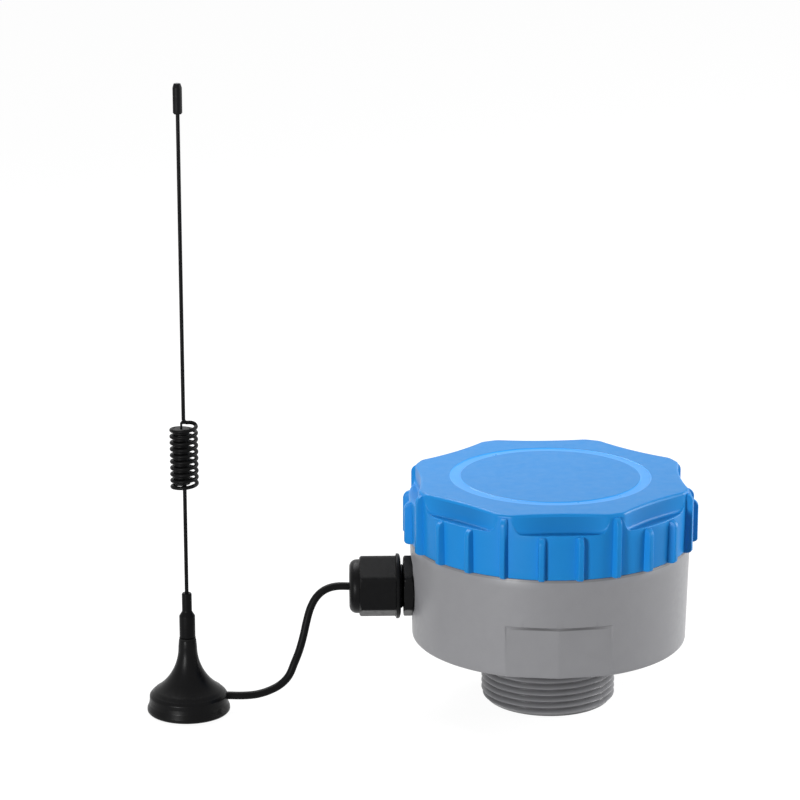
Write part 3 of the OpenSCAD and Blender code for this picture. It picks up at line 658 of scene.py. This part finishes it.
class TRANSMITTER_OT_stage(bpy.types.Operator):
    """Sets the camera, the pale floor, the sky and the lamps"""
    bl_idname = "transmitter.stage"
    bl_label = "Stage"

    AZIMUTH, ELEVATION = -1.70, 15.13
    TARGET_RIGHT, TARGET_UP = -53.2, 110.1
    LIT_SPOT = (-0.03, 0.0, 0.06)
    # azimuth, elevation, size and distance of each lamp
    LAMPS = {"front": (-34, 4, 0.3, 1.5), "side": (98, 6, 1.2, 1.5),
             "top": (-150, 54, 0.4, 0.6)}
    FLOOR_HALF = 12.0
    FLOOR_UNSEEN, FLOOR_SEEN, FLOOR_GLOW = 0.28, 0.16, 0.94

    def execute(self, context):
        settings = context.scene.transmitter_stage
        context.scene.view_settings.view_transform = "Standard"
        self.camera(context, settings)
        self.floor()
        self.sky(context, settings)
        for name, (azimuth, elevation, size, distance) in self.LAMPS.items():
            light = bpy.data.lights.new(name + "_lamp", "AREA")
            light.shape = "SQUARE"
            light.size = size
            light.energy = getattr(settings, name + "_power")
            lamp = aim(name + "_lamp", light, Vector(self.LIT_SPOT),
                       pointing(azimuth, elevation), distance)
            lamp.visible_camera = False
        return {"FINISHED"}

    def camera(self, context, settings):
        turned = math.radians(self.AZIMUTH)
        right = Vector((math.cos(turned), math.sin(turned), 0))
        target = right * self.TARGET_RIGHT * MM + Vector((0, 0, self.TARGET_UP * MM))
        camera = bpy.data.cameras.new("camera")
        camera.lens = settings.focal_length
        camera.sensor_width = 36.0
        camera.clip_start = 0.05
        camera.clip_end = 50
        context.scene.camera = aim("camera", camera, target,
                                   pointing(self.AZIMUTH, self.ELEVATION), settings.distance)

    def floor(self):
        half = self.FLOOR_HALF
        mesh = bpy.data.meshes.new("floor")
        mesh.from_pydata([(-half, -half, 0), (half, -half, 0), (half, half, 0),
                          (-half, half, 0)], [], [(0, 1, 2, 3)])
        material = bpy.data.materials.new("pale_floor")
        tree = empty_tree(material)
        unseen, shade = [put(tree, "ShaderNodeBsdfDiffuse", {"Color": (grey, grey, grey, 1)})
                         for grey in (self.FLOOR_UNSEEN, self.FLOOR_SEEN)]
        glow = put(tree, "ShaderNodeEmission", {"Strength": self.FLOOR_GLOW})
        seen = put(tree, "ShaderNodeAddShader", {0: shade, 1: glow})
        split_rays(tree, unseen, seen, "ShaderNodeOutputMaterial")
        mesh.materials.append(material)
        floor = add_object("floor", mesh)

    def sky(self, context, settings):
        world = bpy.data.worlds.new("studio")
        context.scene.world = world
        tree = empty_tree(world)
        light, white = [put(tree, "ShaderNodeBackground", {"Color": (1, 1, 1, 1),
                                                           "Strength": strength})
                        for strength in (settings.sky, 1.0)]
        split_rays(tree, light, white, "ShaderNodeOutputWorld")


# ---------------- lead

class TRANSMITTER_OT_lead(bpy.types.Operator):
    """Lays the antenna's lead from the magnet foot through the gland to its plug"""
    bl_idname = "transmitter.lead"
    bl_label = "Antenna lead"

    # distance from the foot's axis to the lead's exit, then the knots of its free part
    EXIT = 13.7
    FREE = ((-109.5, -12, 5.4), (-104.5, -11.4, 5.6), (-100, -10.6, 6.7), (-96, -9.6, 8.6),
            (-93, -8.6, 11.6), (-91, -7.4, 16), (-89.3, -6, 20), (-87.8, -4.6, 25),
            (-86.6, -3.3, 30), (-85.2, -2.1, 34.6), (-83, -1.2, 38.4), (-80, -0.5, 40.8))

    def route(self):
        """Knots in the foot, in the open, through the gland and down to the plug."""
        foot = [(ANTENNA_X + x, ANTENNA_Y, LEAD_Z) for x in (1.8, 7.7, self.EXIT)]
        inside = [(x, 0, GLAND_Z) for x in (-76, -70, -63, -56, -49, -42, -35, -31)]
        plug_x, plug_top = middle("coax_plug", 0), high("coax_plug", 2)
        drop = [(-28, 0, GLAND_Z - 0.8), (-25.8, 0, GLAND_Z - 3), (plug_x, 0, plug_top + 1.2),
                (plug_x, 0, plug_top)]
        return [Vector(point) for point in (*foot, *self.FREE, *inside, *drop)]

    def execute(self, context):
        settings = context.scene.transmitter_antenna
        knots = self.route()
        path = []
        # a smooth curve through the knots, with four points between each two
        for i in range(len(knots) - 1):
            before, here = knots[max(i - 1, 0)], knots[i]
            after, beyond = knots[i + 1], knots[min(i + 2, len(knots) - 1)]
            for share in (0, 0.2, 0.4, 0.6, 0.8):
                path.append(0.5 * (2 * here + (after - before) * share
                                   + (2 * before - 5 * here + 4 * after - beyond) * share ** 2
                                   + (3 * here - before - 3 * after + beyond) * share ** 3))
        path.append(knots[-1])
        lead = path_curve("antenna_lead", path)
        lead.data.bevel_depth = settings.lead_thickness / 2
        lead.data.bevel_resolution = 6
        lead.data.use_fill_caps = True
        lead.data.splines[0].use_smooth = True
        dress(lead, "instrument", finish_of("lead_jacket"), "rubber", "antenna_cable")
        return {"FINISHED"}


# ---------------- cover

class TRANSMITTER_OT_cover(bpy.types.Operator):
    """Moulds the lobed cover with its scallops, ledges, ribs and polished ring"""
    bl_idname = "transmitter.cover"
    bl_label = "Cover"

    COLUMNS = 720
    # roundings: the skirt's mouth, scallop into lobe, a ledge's edge and the ring's edges
    LIP, BLEND, SOFT, RING_EDGE = 0.4, 0.5, 0.45, 0.3
    # a rib's depth in the skirt and its crown's height
    RIB_ROOT, RIB_CROWN = 1.2, 2.6
    # (radius, height) inside, from the middle of the ceiling down to the mouth
    INSIDE = ((0, 79.4), (20, 79.4), (41.8, 79.4), (42.6, 78.6), (42.6, 73.0), (46.9, 73.0),
              (47.2, 72.7), (47.2, 66), (47.2, JOINT_Z + 0.5), (47.7, JOINT_Z))

    def execute(self, context):
        settings = context.scene.transmitter_cover
        shell = skin("cover_shell", self.rings(settings), 40)
        dress(shell, "cover", finish_of("cover_plastic"), "cover_blue", "cover")
        self.polish_ring(shell, settings)
        dress(self.ribs(settings), "cover", finish_of("cover_plastic"), "cover_blue")
        return {"FINISHED"}

    def rings(self, s):
        """The shell as rings, from the skirt's mouth over the top and back down inside."""
        angles = turn(self.COLUMNS)
        rings = Rings(angles)
        sector = 2 * math.pi / s.lobes
        off = (angles + sector / 2) % sector - sector / 2
        centre = (s.scallop_reach + s.scallop_radius) / MM
        hollow = s.scallop_radius / MM
        scallop = centre * np.cos(off) - np.sqrt(hollow ** 2 - (centre * np.sin(off)) ** 2)
        mouth, lobe = s.skirt_radius / MM, s.lobe_radius / MM
        edge, fillet, corner = s.edge_round / MM, s.ledge_fillet / MM, s.corner_round / MM
        ledge, low_z, top_z = s.ledge_height / MM, JOINT_Z, COVER_TOP_Z
        end_x = (centre ** 2 + lobe ** 2 - hollow ** 2) / (2 * centre)
        half_width = math.sqrt(lobe ** 2 - end_x ** 2)

        def skirt(z):
            return mouth + (lobe - mouth) * np.minimum((z - low_z) / (ledge - low_z), 1)

        wall = np.minimum(soft_min(scallop, lobe, self.BLEND), lobe)
        width = lobe - wall
        into_corner = np.clip(np.abs(lobe * np.sin(off)) - half_width + corner, 0, corner)
        floor = ledge + corner - np.sqrt(corner ** 2 - into_corner ** 2)
        soften = np.minimum(self.SOFT, self.SOFT * width)

        def hollow_z(distance):
            """Height of the ledge or its fillet at a distance from the scallop's wall."""
            climb = np.clip(fillet - distance, 0, fillet)
            return floor + fillet - np.sqrt(fillet ** 2 - climb ** 2)

        edge_z = hollow_z(width)
        before_z = edge_z - soften
        lip = self.LIP
        for a in np.radians(np.linspace(0, 90, 5)):
            rings.add(mouth - lip + lip * np.sin(a), low_z + lip - lip * np.cos(a))
        for share in np.linspace(0.15, 1, 6):
            z = low_z + lip + share * (before_z - low_z - lip)
            rings.add(skirt(z), z)
        # rounded outer edge, flat of the ledge, then the fillet up to the scallop's wall
        reach = width - soften
        for t in np.linspace(0, 1, 6)[1:]:
            rings.add(bezier((skirt(before_z), lobe, wall + reach), t),
                      bezier((before_z, edge_z, hollow_z(reach)), t))
        for share in (0.35, 0.7, 1):
            distance = reach + share * np.minimum(fillet - reach, 0)
            rings.add(wall + distance, hollow_z(distance))
        begin = np.arcsin(np.clip(1 - np.minimum(reach, fillet) / fillet, 0, 1))
        for share in np.linspace(0, 1, 9)[1:]:
            a = begin + share * (math.pi / 2 - begin)
            rings.add(wall + fillet * (1 - np.sin(a)), floor + fillet * (1 - np.cos(a)))
        for share in (0.35, 0.7):
            rings.add(wall, floor + fillet + share * (top_z - edge - floor - fillet))
        for a in np.radians(np.linspace(0, 90, 8)):
            rings.add(wall - edge + edge * np.cos(a), top_z - edge + edge * np.sin(a))
        # the top with its ring, then the inside
        outer, soft = s.ring_radius / MM, self.RING_EDGE
        inner = outer - s.ring_width / MM
        sunk_z = top_z - s.ring_depth / MM
        for share in (0.12, 0.3, 0.5, 0.7, 0.88):
            rings.add((wall - edge) * (1 - share) + (outer + soft) * share, top_z)
        rings.follow(rounded([
            (outer + soft, top_z, 0), (outer, top_z, soft), (outer - 0.4, sunk_z, soft),
            (inner + 0.4, sunk_z, soft), (inner, top_z, soft), (inner - soft, top_z, 0)], 4))
        rings.follow((r, top_z) for r in (24, 16, 8, 3, 0))
        rings.follow(self.INSIDE)
        rings.add(mouth - lip, low_z)
        return rings

    def polish_ring(self, shell, s):
        """Paints the floor of the ring with its own finish, whose lighter tint is painted
        sheen.
        """
        shell.data.materials.append(finish_of("ring_plastic"))
        outer, inner = s.ring_radius, s.ring_radius - s.ring_width
        highest = COVER_TOP_Z * MM - 0.2 * s.ring_depth
        lowest = COVER_TOP_Z * MM - 1.2 * s.ring_depth
        for face in shell.data.polygons:
            reach = math.hypot(face.center.x, face.center.y)
            if inner < reach < outer and lowest < face.center.z < highest:
                face.material_index = 1

    def rib(self, s, name, top_z):
        """One rib as sections, from its foot up to its sloped crown."""
        face, reach, half = s.skirt_radius / MM, s.rib_reach / MM, s.rib_width / MM / 2
        root, crown = face - self.RIB_ROOT, self.RIB_CROWN
        x, y = np.array(rounded([
            (root, -half - 0.2, 0), (face, -half, 0.25), (reach, -0.62 * half, 0.45),
            (reach, 0.62 * half, 0.45), (face, half, 0.25), (root, half + 0.2, 0)], 4)).T
        levels = [(JOINT_Z, 0.0), (JOINT_Z, 0.7), (JOINT_Z + 0.3, 0.88),
                  (JOINT_Z + 0.9, 1.0), (top_z - crown, 1.0)]
        levels += [(top_z - crown + crown * math.sin(a), 0.35 + 0.65 * math.cos(a))
                   for a in np.radians(np.linspace(10, 90, 9))]
        levels.append((top_z, 0.0))
        return skin(name, [np.stack([root + (x - root) * share, y * (0.85 + 0.15 * share),
                                     np.full_like(x, z)], axis=1) for z, share in levels], 50)

    def ribs(self, s):
        """Tall ribs on the lobes and two short ones between each two of them."""
        tall = self.rib(s, "tall_rib", COVER_TOP_Z - 1.2)
        short = self.rib(s, "short_rib", s.ledge_height / MM - 0.4)
        host = add_object("cover_ribs", bpy.data.meshes.new("cover_ribs"))
        made = run_tree(host, rib_tree(), {
            "Count": 3 * s.lobes, "First angle": math.pi / s.lobes, "Tall rib": tall,
            "Short rib": short, "Material": finish_of("cover_plastic")})
        for source in (tall, short):
            bpy.data.objects.remove(source)
        return made


# ---------------- housing

def thread_wave(phase):
    """A rounded triangle from 0 at the root to 1 at the crest."""
    sharp = 0.965
    return 0.5 + 0.5 * np.arcsin(sharp * np.cos(2 * math.pi * phase)) / math.asin(sharp)


class TRANSMITTER_OT_housing(bpy.types.Operator):
    """Moulds the housing with its threaded neck, wrench flats and closure collar"""
    bl_idname = "transmitter.housing"
    bl_label = "Housing"

    COLUMNS = 384
    # angles of a wrench flat: turn of each half, half of its width, half of its side
    FACET, SPAN, SIDE = math.radians(8), math.radians(21.9), 0.006
    # radii inside: the neck's end, the neck, the cavity and the collar
    BORE, NECK, CAVITY, MOUTH = 16.5, 19.0, 44.4, 42.0
    # collar: its radius, the seal's groove, and the heights of the groove and the thread
    COLLAR, GROOVE = 46.9, 44.0
    GROOVE_Z, GROOVE_TOP_Z, THREAD_Z, THREAD_TOP_Z = 60.5, 63.7, 64.0, 71.7

    def execute(self, context):
        s = context.scene.transmitter_housing
        body = skin("housing_body", self.rings(s), 30)
        cut(body, self.cutter())
        finish_mesh(body.data, 30)
        dress(body, "instrument", finish_of("housing_plastic"), "housing_grey", "housing")
        return {"FINISHED"}

    def rings(self, s):
        """The body as rings, from the neck up to the collar and back down inside."""
        edges = [side * math.pi / 2 + way * self.SPAN + gap for side in (1, 3)
                 for way in (-1, 1) for gap in (-self.SIDE, self.SIDE)]
        angles = np.sort(np.concatenate([turn(self.COLUMNS), edges]))
        turned = angles / (2 * math.pi)
        rings = Rings(angles)
        add, follow = rings.add, rings.follow
        off = (angles + math.pi / 2) % math.pi
        off = np.minimum(off, math.pi - off)
        flat = np.where(off < self.SPAN, s.flats_reach / MM / np.cos(off - self.FACET), 1e3)
        foot, top = s.foot_radius / MM, s.top_radius / MM
        step_z, fillet = s.flats_top / MM, s.flats_fillet / MM

        def wall(z):
            return foot + (top - foot) * (z - SHOULDER_Z) / (JOINT_Z - SHOULDER_Z)

        # neck with its thread
        neck, chamfer, bore = s.neck_radius / MM, s.neck_chamfer / MM, self.BORE
        follow(((bore, 2.5), (bore, 0.3), (bore + 0.3, 0), (neck - chamfer - 0.3, 0),
                (neck - chamfer, 0.12)))
        pitch, depth = s.neck_pitch / MM, s.neck_depth / MM
        for z in np.arange(0.3, SHOULDER_Z - 0.3, pitch / 14):
            fade = np.clip((SHOULDER_Z - 0.5 - z) / 0.7, 0, 1)
            root = depth * (1 - thread_wave(z / pitch - turned)) * fade
            add(np.minimum(neck - root, neck - chamfer + z), z)
        follow(((neck + 0.1, SHOULDER_Z - 0.15), (neck + 0.3, SHOULDER_Z)))
        # foot, flats with the fillet above them, and wall
        add(np.minimum(flat, foot) - 6, SHOULDER_Z)
        for off_flat, off_foot, up in ((0.35, 0.8, 0), (0.1, 0.45, 0.12), (0, 0.05, 0.55)):
            add(np.minimum(flat - off_flat, foot - off_foot), SHOULDER_Z + up)
        base_z = SHOULDER_Z + 0.9
        start_r = np.minimum(flat, wall(step_z))
        steepest = np.arccos(np.clip(1 - (wall(step_z) - start_r) / fillet, 0, 1))
        rise = np.maximum(fillet * np.sin(steepest), 0.5)
        start_z = step_z - rise
        for share in (0, *np.linspace(0.1, 0.97, 7)):
            z = base_z + share * (start_z - base_z)
            add(np.minimum(flat, wall(z)), z)
        for share in np.linspace(0, 1, 8):
            a = share * steepest
            climbed = np.where(off < self.SPAN, np.sin(a) / np.sin(steepest + 1e-6), share)
            z = start_z + rise * climbed
            add(np.minimum(start_r + fillet * (1 - np.cos(a)), wall(z)), z)
        for z in (step_z + 0.15, *np.linspace(step_z + 3, JOINT_Z - 0.35, 5)):
            add(wall(z), z)
        # collar with the seal's groove and the cover's thread, then the inside
        collar, groove = self.COLLAR, self.GROOVE
        low_z, top_z = self.GROOVE_Z, self.GROOVE_TOP_Z
        follow(((top - 0.1, JOINT_Z - 0.1), (top - 0.35, JOINT_Z), (collar + 0.2, JOINT_Z),
                (collar, JOINT_Z + 0.2), (collar, low_z - 0.1), (groove + 0.2, low_z),
                (groove, low_z + 0.2), (groove, top_z - 0.2), (groove + 0.2, top_z),
                (collar, top_z + 0.1)))
        pitch, depth = s.collar_pitch / MM, s.collar_depth / MM
        low_z, top_z = self.THREAD_Z + 0.2, self.THREAD_TOP_Z - 0.1
        for z in np.arange(self.THREAD_Z, self.THREAD_TOP_Z, pitch / 15):
            fade = np.clip((z - low_z) / 0.8, 0, 1) * np.clip((top_z - z) / 0.8, 0, 1)
            add(collar - depth * (1 - thread_wave(z / pitch - turned)) * fade, z)
        cavity, inner, mouth = self.CAVITY, self.NECK, self.MOUTH
        follow(((collar, self.THREAD_TOP_Z + 0.1), (collar - 0.5, COLLAR_TOP_Z),
                (mouth + 0.4, COLLAR_TOP_Z), (mouth, COLLAR_TOP_Z - 0.4), (mouth, 59.8),
                (cavity, 57.4), (cavity, 27.5), (cavity - 0.5, 27.0), (inner + 0.3, 27.0),
                (inner, 26.7), (inner, 2.5), (bore, 2.5)))
        return rings

    def cutter(self):
        """Seat, washer recess and hole for the gland, as one solid."""
        return place(lathe("gland_cutter", [
            (0, -14), (8.1, -14), (8.1, -1), (9.8, -1), (9.8, 0), (12.44, 0), (12.44, 4),
            (0, 4)]), on_gland())


# ---------------- gland

class TRANSMITTER_OT_gland(bpy.types.Operator):
    """Moulds the gland's flange, threaded sleeve and domed nut"""
    bl_idname = "transmitter.gland"
    bl_label = "Cable gland"

    # radius over the sleeve's thread, its pitch and depth, and the height where it starts
    SLEEVE, PITCH, DEPTH, THREAD_Z = 8.0, 1.5, 0.8, 3.6
    # flange, cut to the hexagon: (radius, height) from its back to the sleeve
    FLANGE = ((8.3, 0), (10.4, 0), (10.95, 0.08), (11.35, 0.4), (12, 0.8), (12, 2.4),
              (11.45, 2.75), (11.0, 3.0), (10.2, 3.2), (8.4, 3.2), (7.4, 3.35))
    # radii of the sleeve's bore and the seal's, of the nut's rim and its dome
    BORE, SEAL_BORE, NUT_RIM, DOME = 5.0, 6.7, 11.6, 9.6

    def hexagon(self, s, angles):
        """Radii of the hexagon that flange and nut share."""
        half = s.across_flats / MM / 2
        off = angles % (math.pi / 3) - math.pi / 6
        return soft_min(half / np.cos(off), half / math.cos(math.pi / 6)
                        - 0.15 * s.corner_round / MM, s.corner_round / MM)

    def execute(self, context):
        s = context.scene.transmitter_gland
        angles = turn(240)
        hexagon = self.hexagon(s, angles)
        for name, body, node, rings in (
                ("gland_flange", "instrument", "gland_body", self.flange(angles, hexagon)),
                ("gland_cap", "gland_nut", "gland_nut", self.nut(s, angles, hexagon))):
            dress(place(skin(name, rings, 28), on_gland()), body, finish_of("gland_nylon"),
                  "black_plastic", node)
        return {"FINISHED"}

    def flange(self, angles, hexagon):
        """The flange, then the sleeve's thread, then back through the bore."""
        rings = Rings(angles)
        for r, z in self.FLANGE:
            rings.add(np.minimum(hexagon, r), z)
        sleeve, foot_r, foot_z = self.SLEEVE, *self.FLANGE[-1]
        turned = angles / (2 * math.pi)
        end = SEAT_X - low("gland_body", 0)
        shank_end = SEAT_X - high("gland_body", 0)
        for z in np.arange(self.THREAD_Z, end - 0.4, self.PITCH / 12):
            fade = min(1, (z - self.THREAD_Z) / 0.8, (end - 0.4 - z) / 0.6)
            depth = self.DEPTH * (1 - thread_wave(z / self.PITCH - turned)) * max(fade, 0)
            rings.add(np.minimum(sleeve - depth, foot_r + (z - foot_z)), z)
        rings.follow(((7.5, end), (self.SEAL_BORE, end), (self.SEAL_BORE, 7.5),
                      (self.BORE, 7.5), (self.BORE, shank_end), (sleeve - 0.3, shank_end),
                      (sleeve, shank_end + 0.3), (sleeve, 0), (8.3, 0)))
        return rings

    def nut(self, s, angles, hexagon):
        """The nut from its rim over the hexagon and the dome, then back inside."""
        open_z, end = SEAT_X - high("gland_nut", 0), SEAT_X - low("gland_nut", 0)
        shoulder = end - s.dome_height / MM
        rim, dome, curve = self.NUT_RIM, self.DOME, s.dome_round / MM
        rings = Rings(angles)
        rings.follow(((8.3, open_z), (rim - 1.4, open_z), (rim - 0.4, open_z + 0.3),
                      (rim - 0.05, open_z + 0.65), (rim, open_z + 0.8), (rim, open_z + 1.55),
                      (np.minimum(rim, hexagon + 0.15), open_z + 1.8)))
        rings.follow((hexagon, z) for z in (open_z + 1.95, 9, 12, 15, shoulder - 1.4))
        for step in np.linspace(0, 1, 8):
            rings.add(np.minimum(hexagon, 11.45 - 1.2 * step ** 1.6), shoulder - 1.0 + step)
        rings.follow(((dome + 0.25, shoulder), (dome, shoulder + 0.2),
                      *arc(dome - curve, end - curve, curve, 0, 90, 9),
                      (5.1, end), (4.7, end - 0.12), (4.6, end - 0.4), (4.6, shoulder + 2),
                      (8.3, shoulder - 1.6), (8.3, open_z + 0.3), (8.3, open_z)))
        return rings


# ---------------- antenna

class TRANSMITTER_OT_foot(bpy.types.Operator):
    """Turns the antenna's magnet foot"""
    bl_idname = "transmitter.foot"
    bl_label = "Magnet foot"

    # radius of the neck; radius, height and reach of the hollow flank below it, and the
    # degrees that the flank stops short of that reach, where the rim's rounding begins
    NECK, FLANK, FLANK_Z, FLANK_REACH, SHORT = 3.3, 18.9, 24.2, 12.6, 2.2

    def execute(self, context):
        neck, flank = self.NECK, self.FLANK
        start = math.degrees(math.acos((neck + flank - self.FLANK_REACH) / flank))
        # rim, hollow flank, neck, then the inside
        outline = rounded([(13.2, 0.85, 0), (13.2, 0.3, 0.05), (14.2, 0.3, 0.3),
                           (14.7, 0.9, 0.4), (14.65, 1.8, 0.6), (14.0, 3.4, 1.2),
                           (13.8, 4.8, 0.8), (13.8, 6.4, 0.9), (13.0, 7.35, 0.6),
                           (12.45, 7.75, 0)], 5)
        outline += arc(neck + flank, self.FLANK_Z, flank, 180 + start - self.SHORT, 180, 28)
        outline += rounded([(neck, 24.3, 0), (3.05, FOOT_TOP_Z - 0.1, 0.1),
                            (2.9, FOOT_TOP_Z, 0), (1.6, FOOT_TOP_Z, 0), (1.6, 3.9, 0),
                            (11.5, 3.9, 0), (11.5, 0.8, 0), (13.2, 0.85, 0)], 3)
        foot = place(lathe("magnet_foot", outline, 160, 28), at_antenna())
        bore = lathe("lead_bore", [(0, 0), (1.5, 0), (1.5, 20), (0, 20)], 48)
        cut(foot, place(bore, sideways(0, LEAD_Z)))
        finish_mesh(foot.data, 28)
        dress(foot, "instrument", finish_of("foot_lacquer"), "black_gloss", "antenna_base")
        return {"FINISHED"}


class TRANSMITTER_OT_whip(bpy.types.Operator):
    """Bends the whip's wire with its loading coil, and turns its ferrule and tip"""
    bl_idname = "transmitter.whip"
    bl_label = "Whip"

    # radius of the wire's bends and of the bore for it, and the height of its lower end
    BEND, BORE, WIRE_Z = 1.2, 0.78, 37.9

    def bar_height(self, s):
        """Height of the bar that leads from the coil back to the axis."""
        return s.coil_start / MM + s.coil_turns * s.coil_pitch / MM + 1.5

    def path(self, s):
        """The wire's middle line, from the ferrule to the tip."""
        radius, start = s.coil_radius / MM, s.coil_start / MM
        bend, rise = self.BEND, s.coil_turns * s.coil_pitch / MM
        top, bar = start + rise, self.bar_height(s)
        first = -2 * math.pi * s.coil_turns
        points = [Vector((0, 0, z)) for z in (self.WIRE_Z, 50, 65, start - bend - 2)]

        def around(reach, angle, z):
            points.append(Vector((reach * math.cos(angle), reach * math.sin(angle), z)))

        for a in np.radians(np.linspace(0, 90, 7)):
            around(bend * (1 - math.cos(a)), first - math.pi / 2,
                   start - bend + bend * math.sin(a))
        for share in np.linspace(0, 1, 12)[1:-1]:
            reach = bend + (radius - bend) * math.sin(math.pi / 2 * share)
            around(reach, first + math.pi / 2 * (share - 1), start)
        steps = round(48 * s.coil_turns)
        for i in range(steps + 1):
            around(radius, first * (1 - i / steps), start + rise * i / steps)
        leave = [Vector((radius, 0, top)), Vector((radius - 0.1, 1.5, top + 0.55)),
                 Vector((radius - 1.0, 0.9, bar)), Vector((bend, 0, bar))]
        for t in np.linspace(0, 1, 12)[1:]:
            points.append(bezier(leave, t))
        for a in np.radians(np.linspace(90, 0, 7)[1:]):
            points.append(Vector((bend * (1 - math.cos(a)), 0,
                                  bar + bend - bend * math.sin(a))))
        for z in (bar + 6, 150, 190, TIP_Z - 7):
            points.append(Vector((0, 0, z)))
        return [point + Vector((ANTENNA_X, ANTENNA_Y, 0)) for point in points]

    def execute(self, context):
        s = context.scene.transmitter_antenna
        black = finish_of("wire_lacquer")
        wire = run_tree(path_curve("whip_wire_fine", self.path(s)), sweep_tree(), {
            "Wire radius": s.wire_thickness / 2, "Sides": 16, "Material": black})
        bar_end = lathe("bar_end", [(0, 0), *arc(0.1, 0.45, 0.45, -90, 0, 5), (0.55, 2.4),
                                    (0, 2.4)], 24)
        join(wire, place(bar_end, sideways(-1.0, self.bar_height(s))))
        finish_mesh(wire.data, 50)
        dress(wire, "whip", black, "black_wire", "whip_wire")

        z = FERRULE_Z
        outline = rounded([(1.8, z, 0), (2.5, z, 0.1), (2.8, z + 0.3, 0.15),
                           (2.8, z + 8.0, 0.4), (1.8, z + 9.6, 0.3),
                           (1.75, z + 10.1, 0.2), (1.75, z + 16.0, 0.3), (1.5, z + 16.4, 0),
                           (self.BORE, z + 16.4, 0), (self.BORE, z + 10.2, 0),
                           (0, z + 10.2, 0)], 4)
        outline += [(0, z + 6.8), (1.8, z + 6.8), (1.8, z)]
        ferrule = place(lathe("whip_socket", outline, 96), at_antenna())
        dress(ferrule, "whip", black, "black_wire", "whip_ferrule")

        foot = low("whip_tip", 2)
        outline = rounded([(self.BORE, foot + 4.2, 0), (self.BORE, foot, 0), (1.2, foot, 0.1),
                           (1.6, foot + 0.5, 0.2), (1.6, TIP_Z - 1.5, 0.8),
                           (1.15, TIP_Z, 0.35), (0, TIP_Z, 0)], 5)
        tip = place(lathe("whip_cap", [(0, foot + 4.2), *outline], 64), at_antenna())
        dress(tip, "whip", finish_of("core_plastic"), "black_plastic", "whip_tip")
        return {"FINISHED"}


# ---------------- other nodes

class TRANSMITTER_OT_inner_parts(bpy.types.Operator):
    """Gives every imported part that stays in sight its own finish"""
    bl_idname = "transmitter.inner_parts"
    bl_label = "Inner parts"

    FINISH_BY_NODE = {
        "seal_rubber": ("cover_seal", "lens_seal", "gland_washer", "gland_seal",
                        "whip_gasket", "foot_pad"),
        "lens_ptfe": ("radar_lens",),
        "cast_aluminium": ("horn", "lens_retainer"),
        "bright_steel": ("horn_screws", "holder_screws", "battery_contacts", "magnet",
                         "radar_module", "radio_module"),
        "turned_brass": ("standoffs", "coax_plug", "base_stud"),
        "board_lacquer": ("main_board",),
        "holder_plastic": ("battery_holder",),
        "cell_sleeve": ("battery_cells",),
        "gland_nylon": ("gland_locknut",),
        "core_plastic": ("coil_core",),
    }

    def execute(self, context):
        for finish, nodes in self.FINISH_BY_NODE.items():
            for node in nodes:
                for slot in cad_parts[node].material_slots:
                    slot.material = finish_of(finish)
        return {"FINISHED"}


# ---------------- panel

GROUPS = {
    "transmitter_stage": StageSettings,
    "transmitter_cover": CoverSettings,
    "transmitter_housing": HousingSettings,
    "transmitter_gland": GlandSettings,
    "transmitter_antenna": AntennaSettings,
}

OPERATORS = (
    TRANSMITTER_OT_stage, TRANSMITTER_OT_lead, TRANSMITTER_OT_cover, TRANSMITTER_OT_housing,
    TRANSMITTER_OT_gland, TRANSMITTER_OT_foot, TRANSMITTER_OT_whip,
    TRANSMITTER_OT_inner_parts)


class TRANSMITTER_PT_panel(bpy.types.Panel):
    """Lists the pieces and their settings"""
    bl_idname = "TRANSMITTER_PT_panel"
    bl_label = "Level transmitter"
    bl_space_type = "VIEW_3D"
    bl_region_type = "UI"
    bl_category = "Transmitter"

    def draw(self, context):
        for operator in OPERATORS:
            self.layout.operator(operator.bl_idname)
        for name, group in GROUPS.items():
            box = self.layout.box()
            box.label(text=name.split("_")[1].title())
            for key in group.__annotations__:
                box.prop(getattr(context.scene, name), key)


def register():
    for group in GROUPS.values():
        bpy.utils.register_class(group)
    for name, group in GROUPS.items():
        setattr(bpy.types.Scene, name, PointerProperty(type=group))
    for operator in OPERATORS:
        bpy.utils.register_class(operator)
    bpy.utils.register_class(TRANSMITTER_PT_panel)


def unregister():
    bpy.utils.unregister_class(TRANSMITTER_PT_panel)
    for operator in reversed(OPERATORS):
        bpy.utils.unregister_class(operator)
    for name in GROUPS:
        delattr(bpy.types.Scene, name)
    for group in reversed(list(GROUPS.values())):
        bpy.utils.unregister_class(group)


def main():
    """Registers the add-on and builds every piece in order."""
    register()
    for operator in OPERATORS:
        family, name = operator.bl_idname.split(".")
        getattr(getattr(bpy.ops, family), name)()


if __name__ == "__main__":
    main()
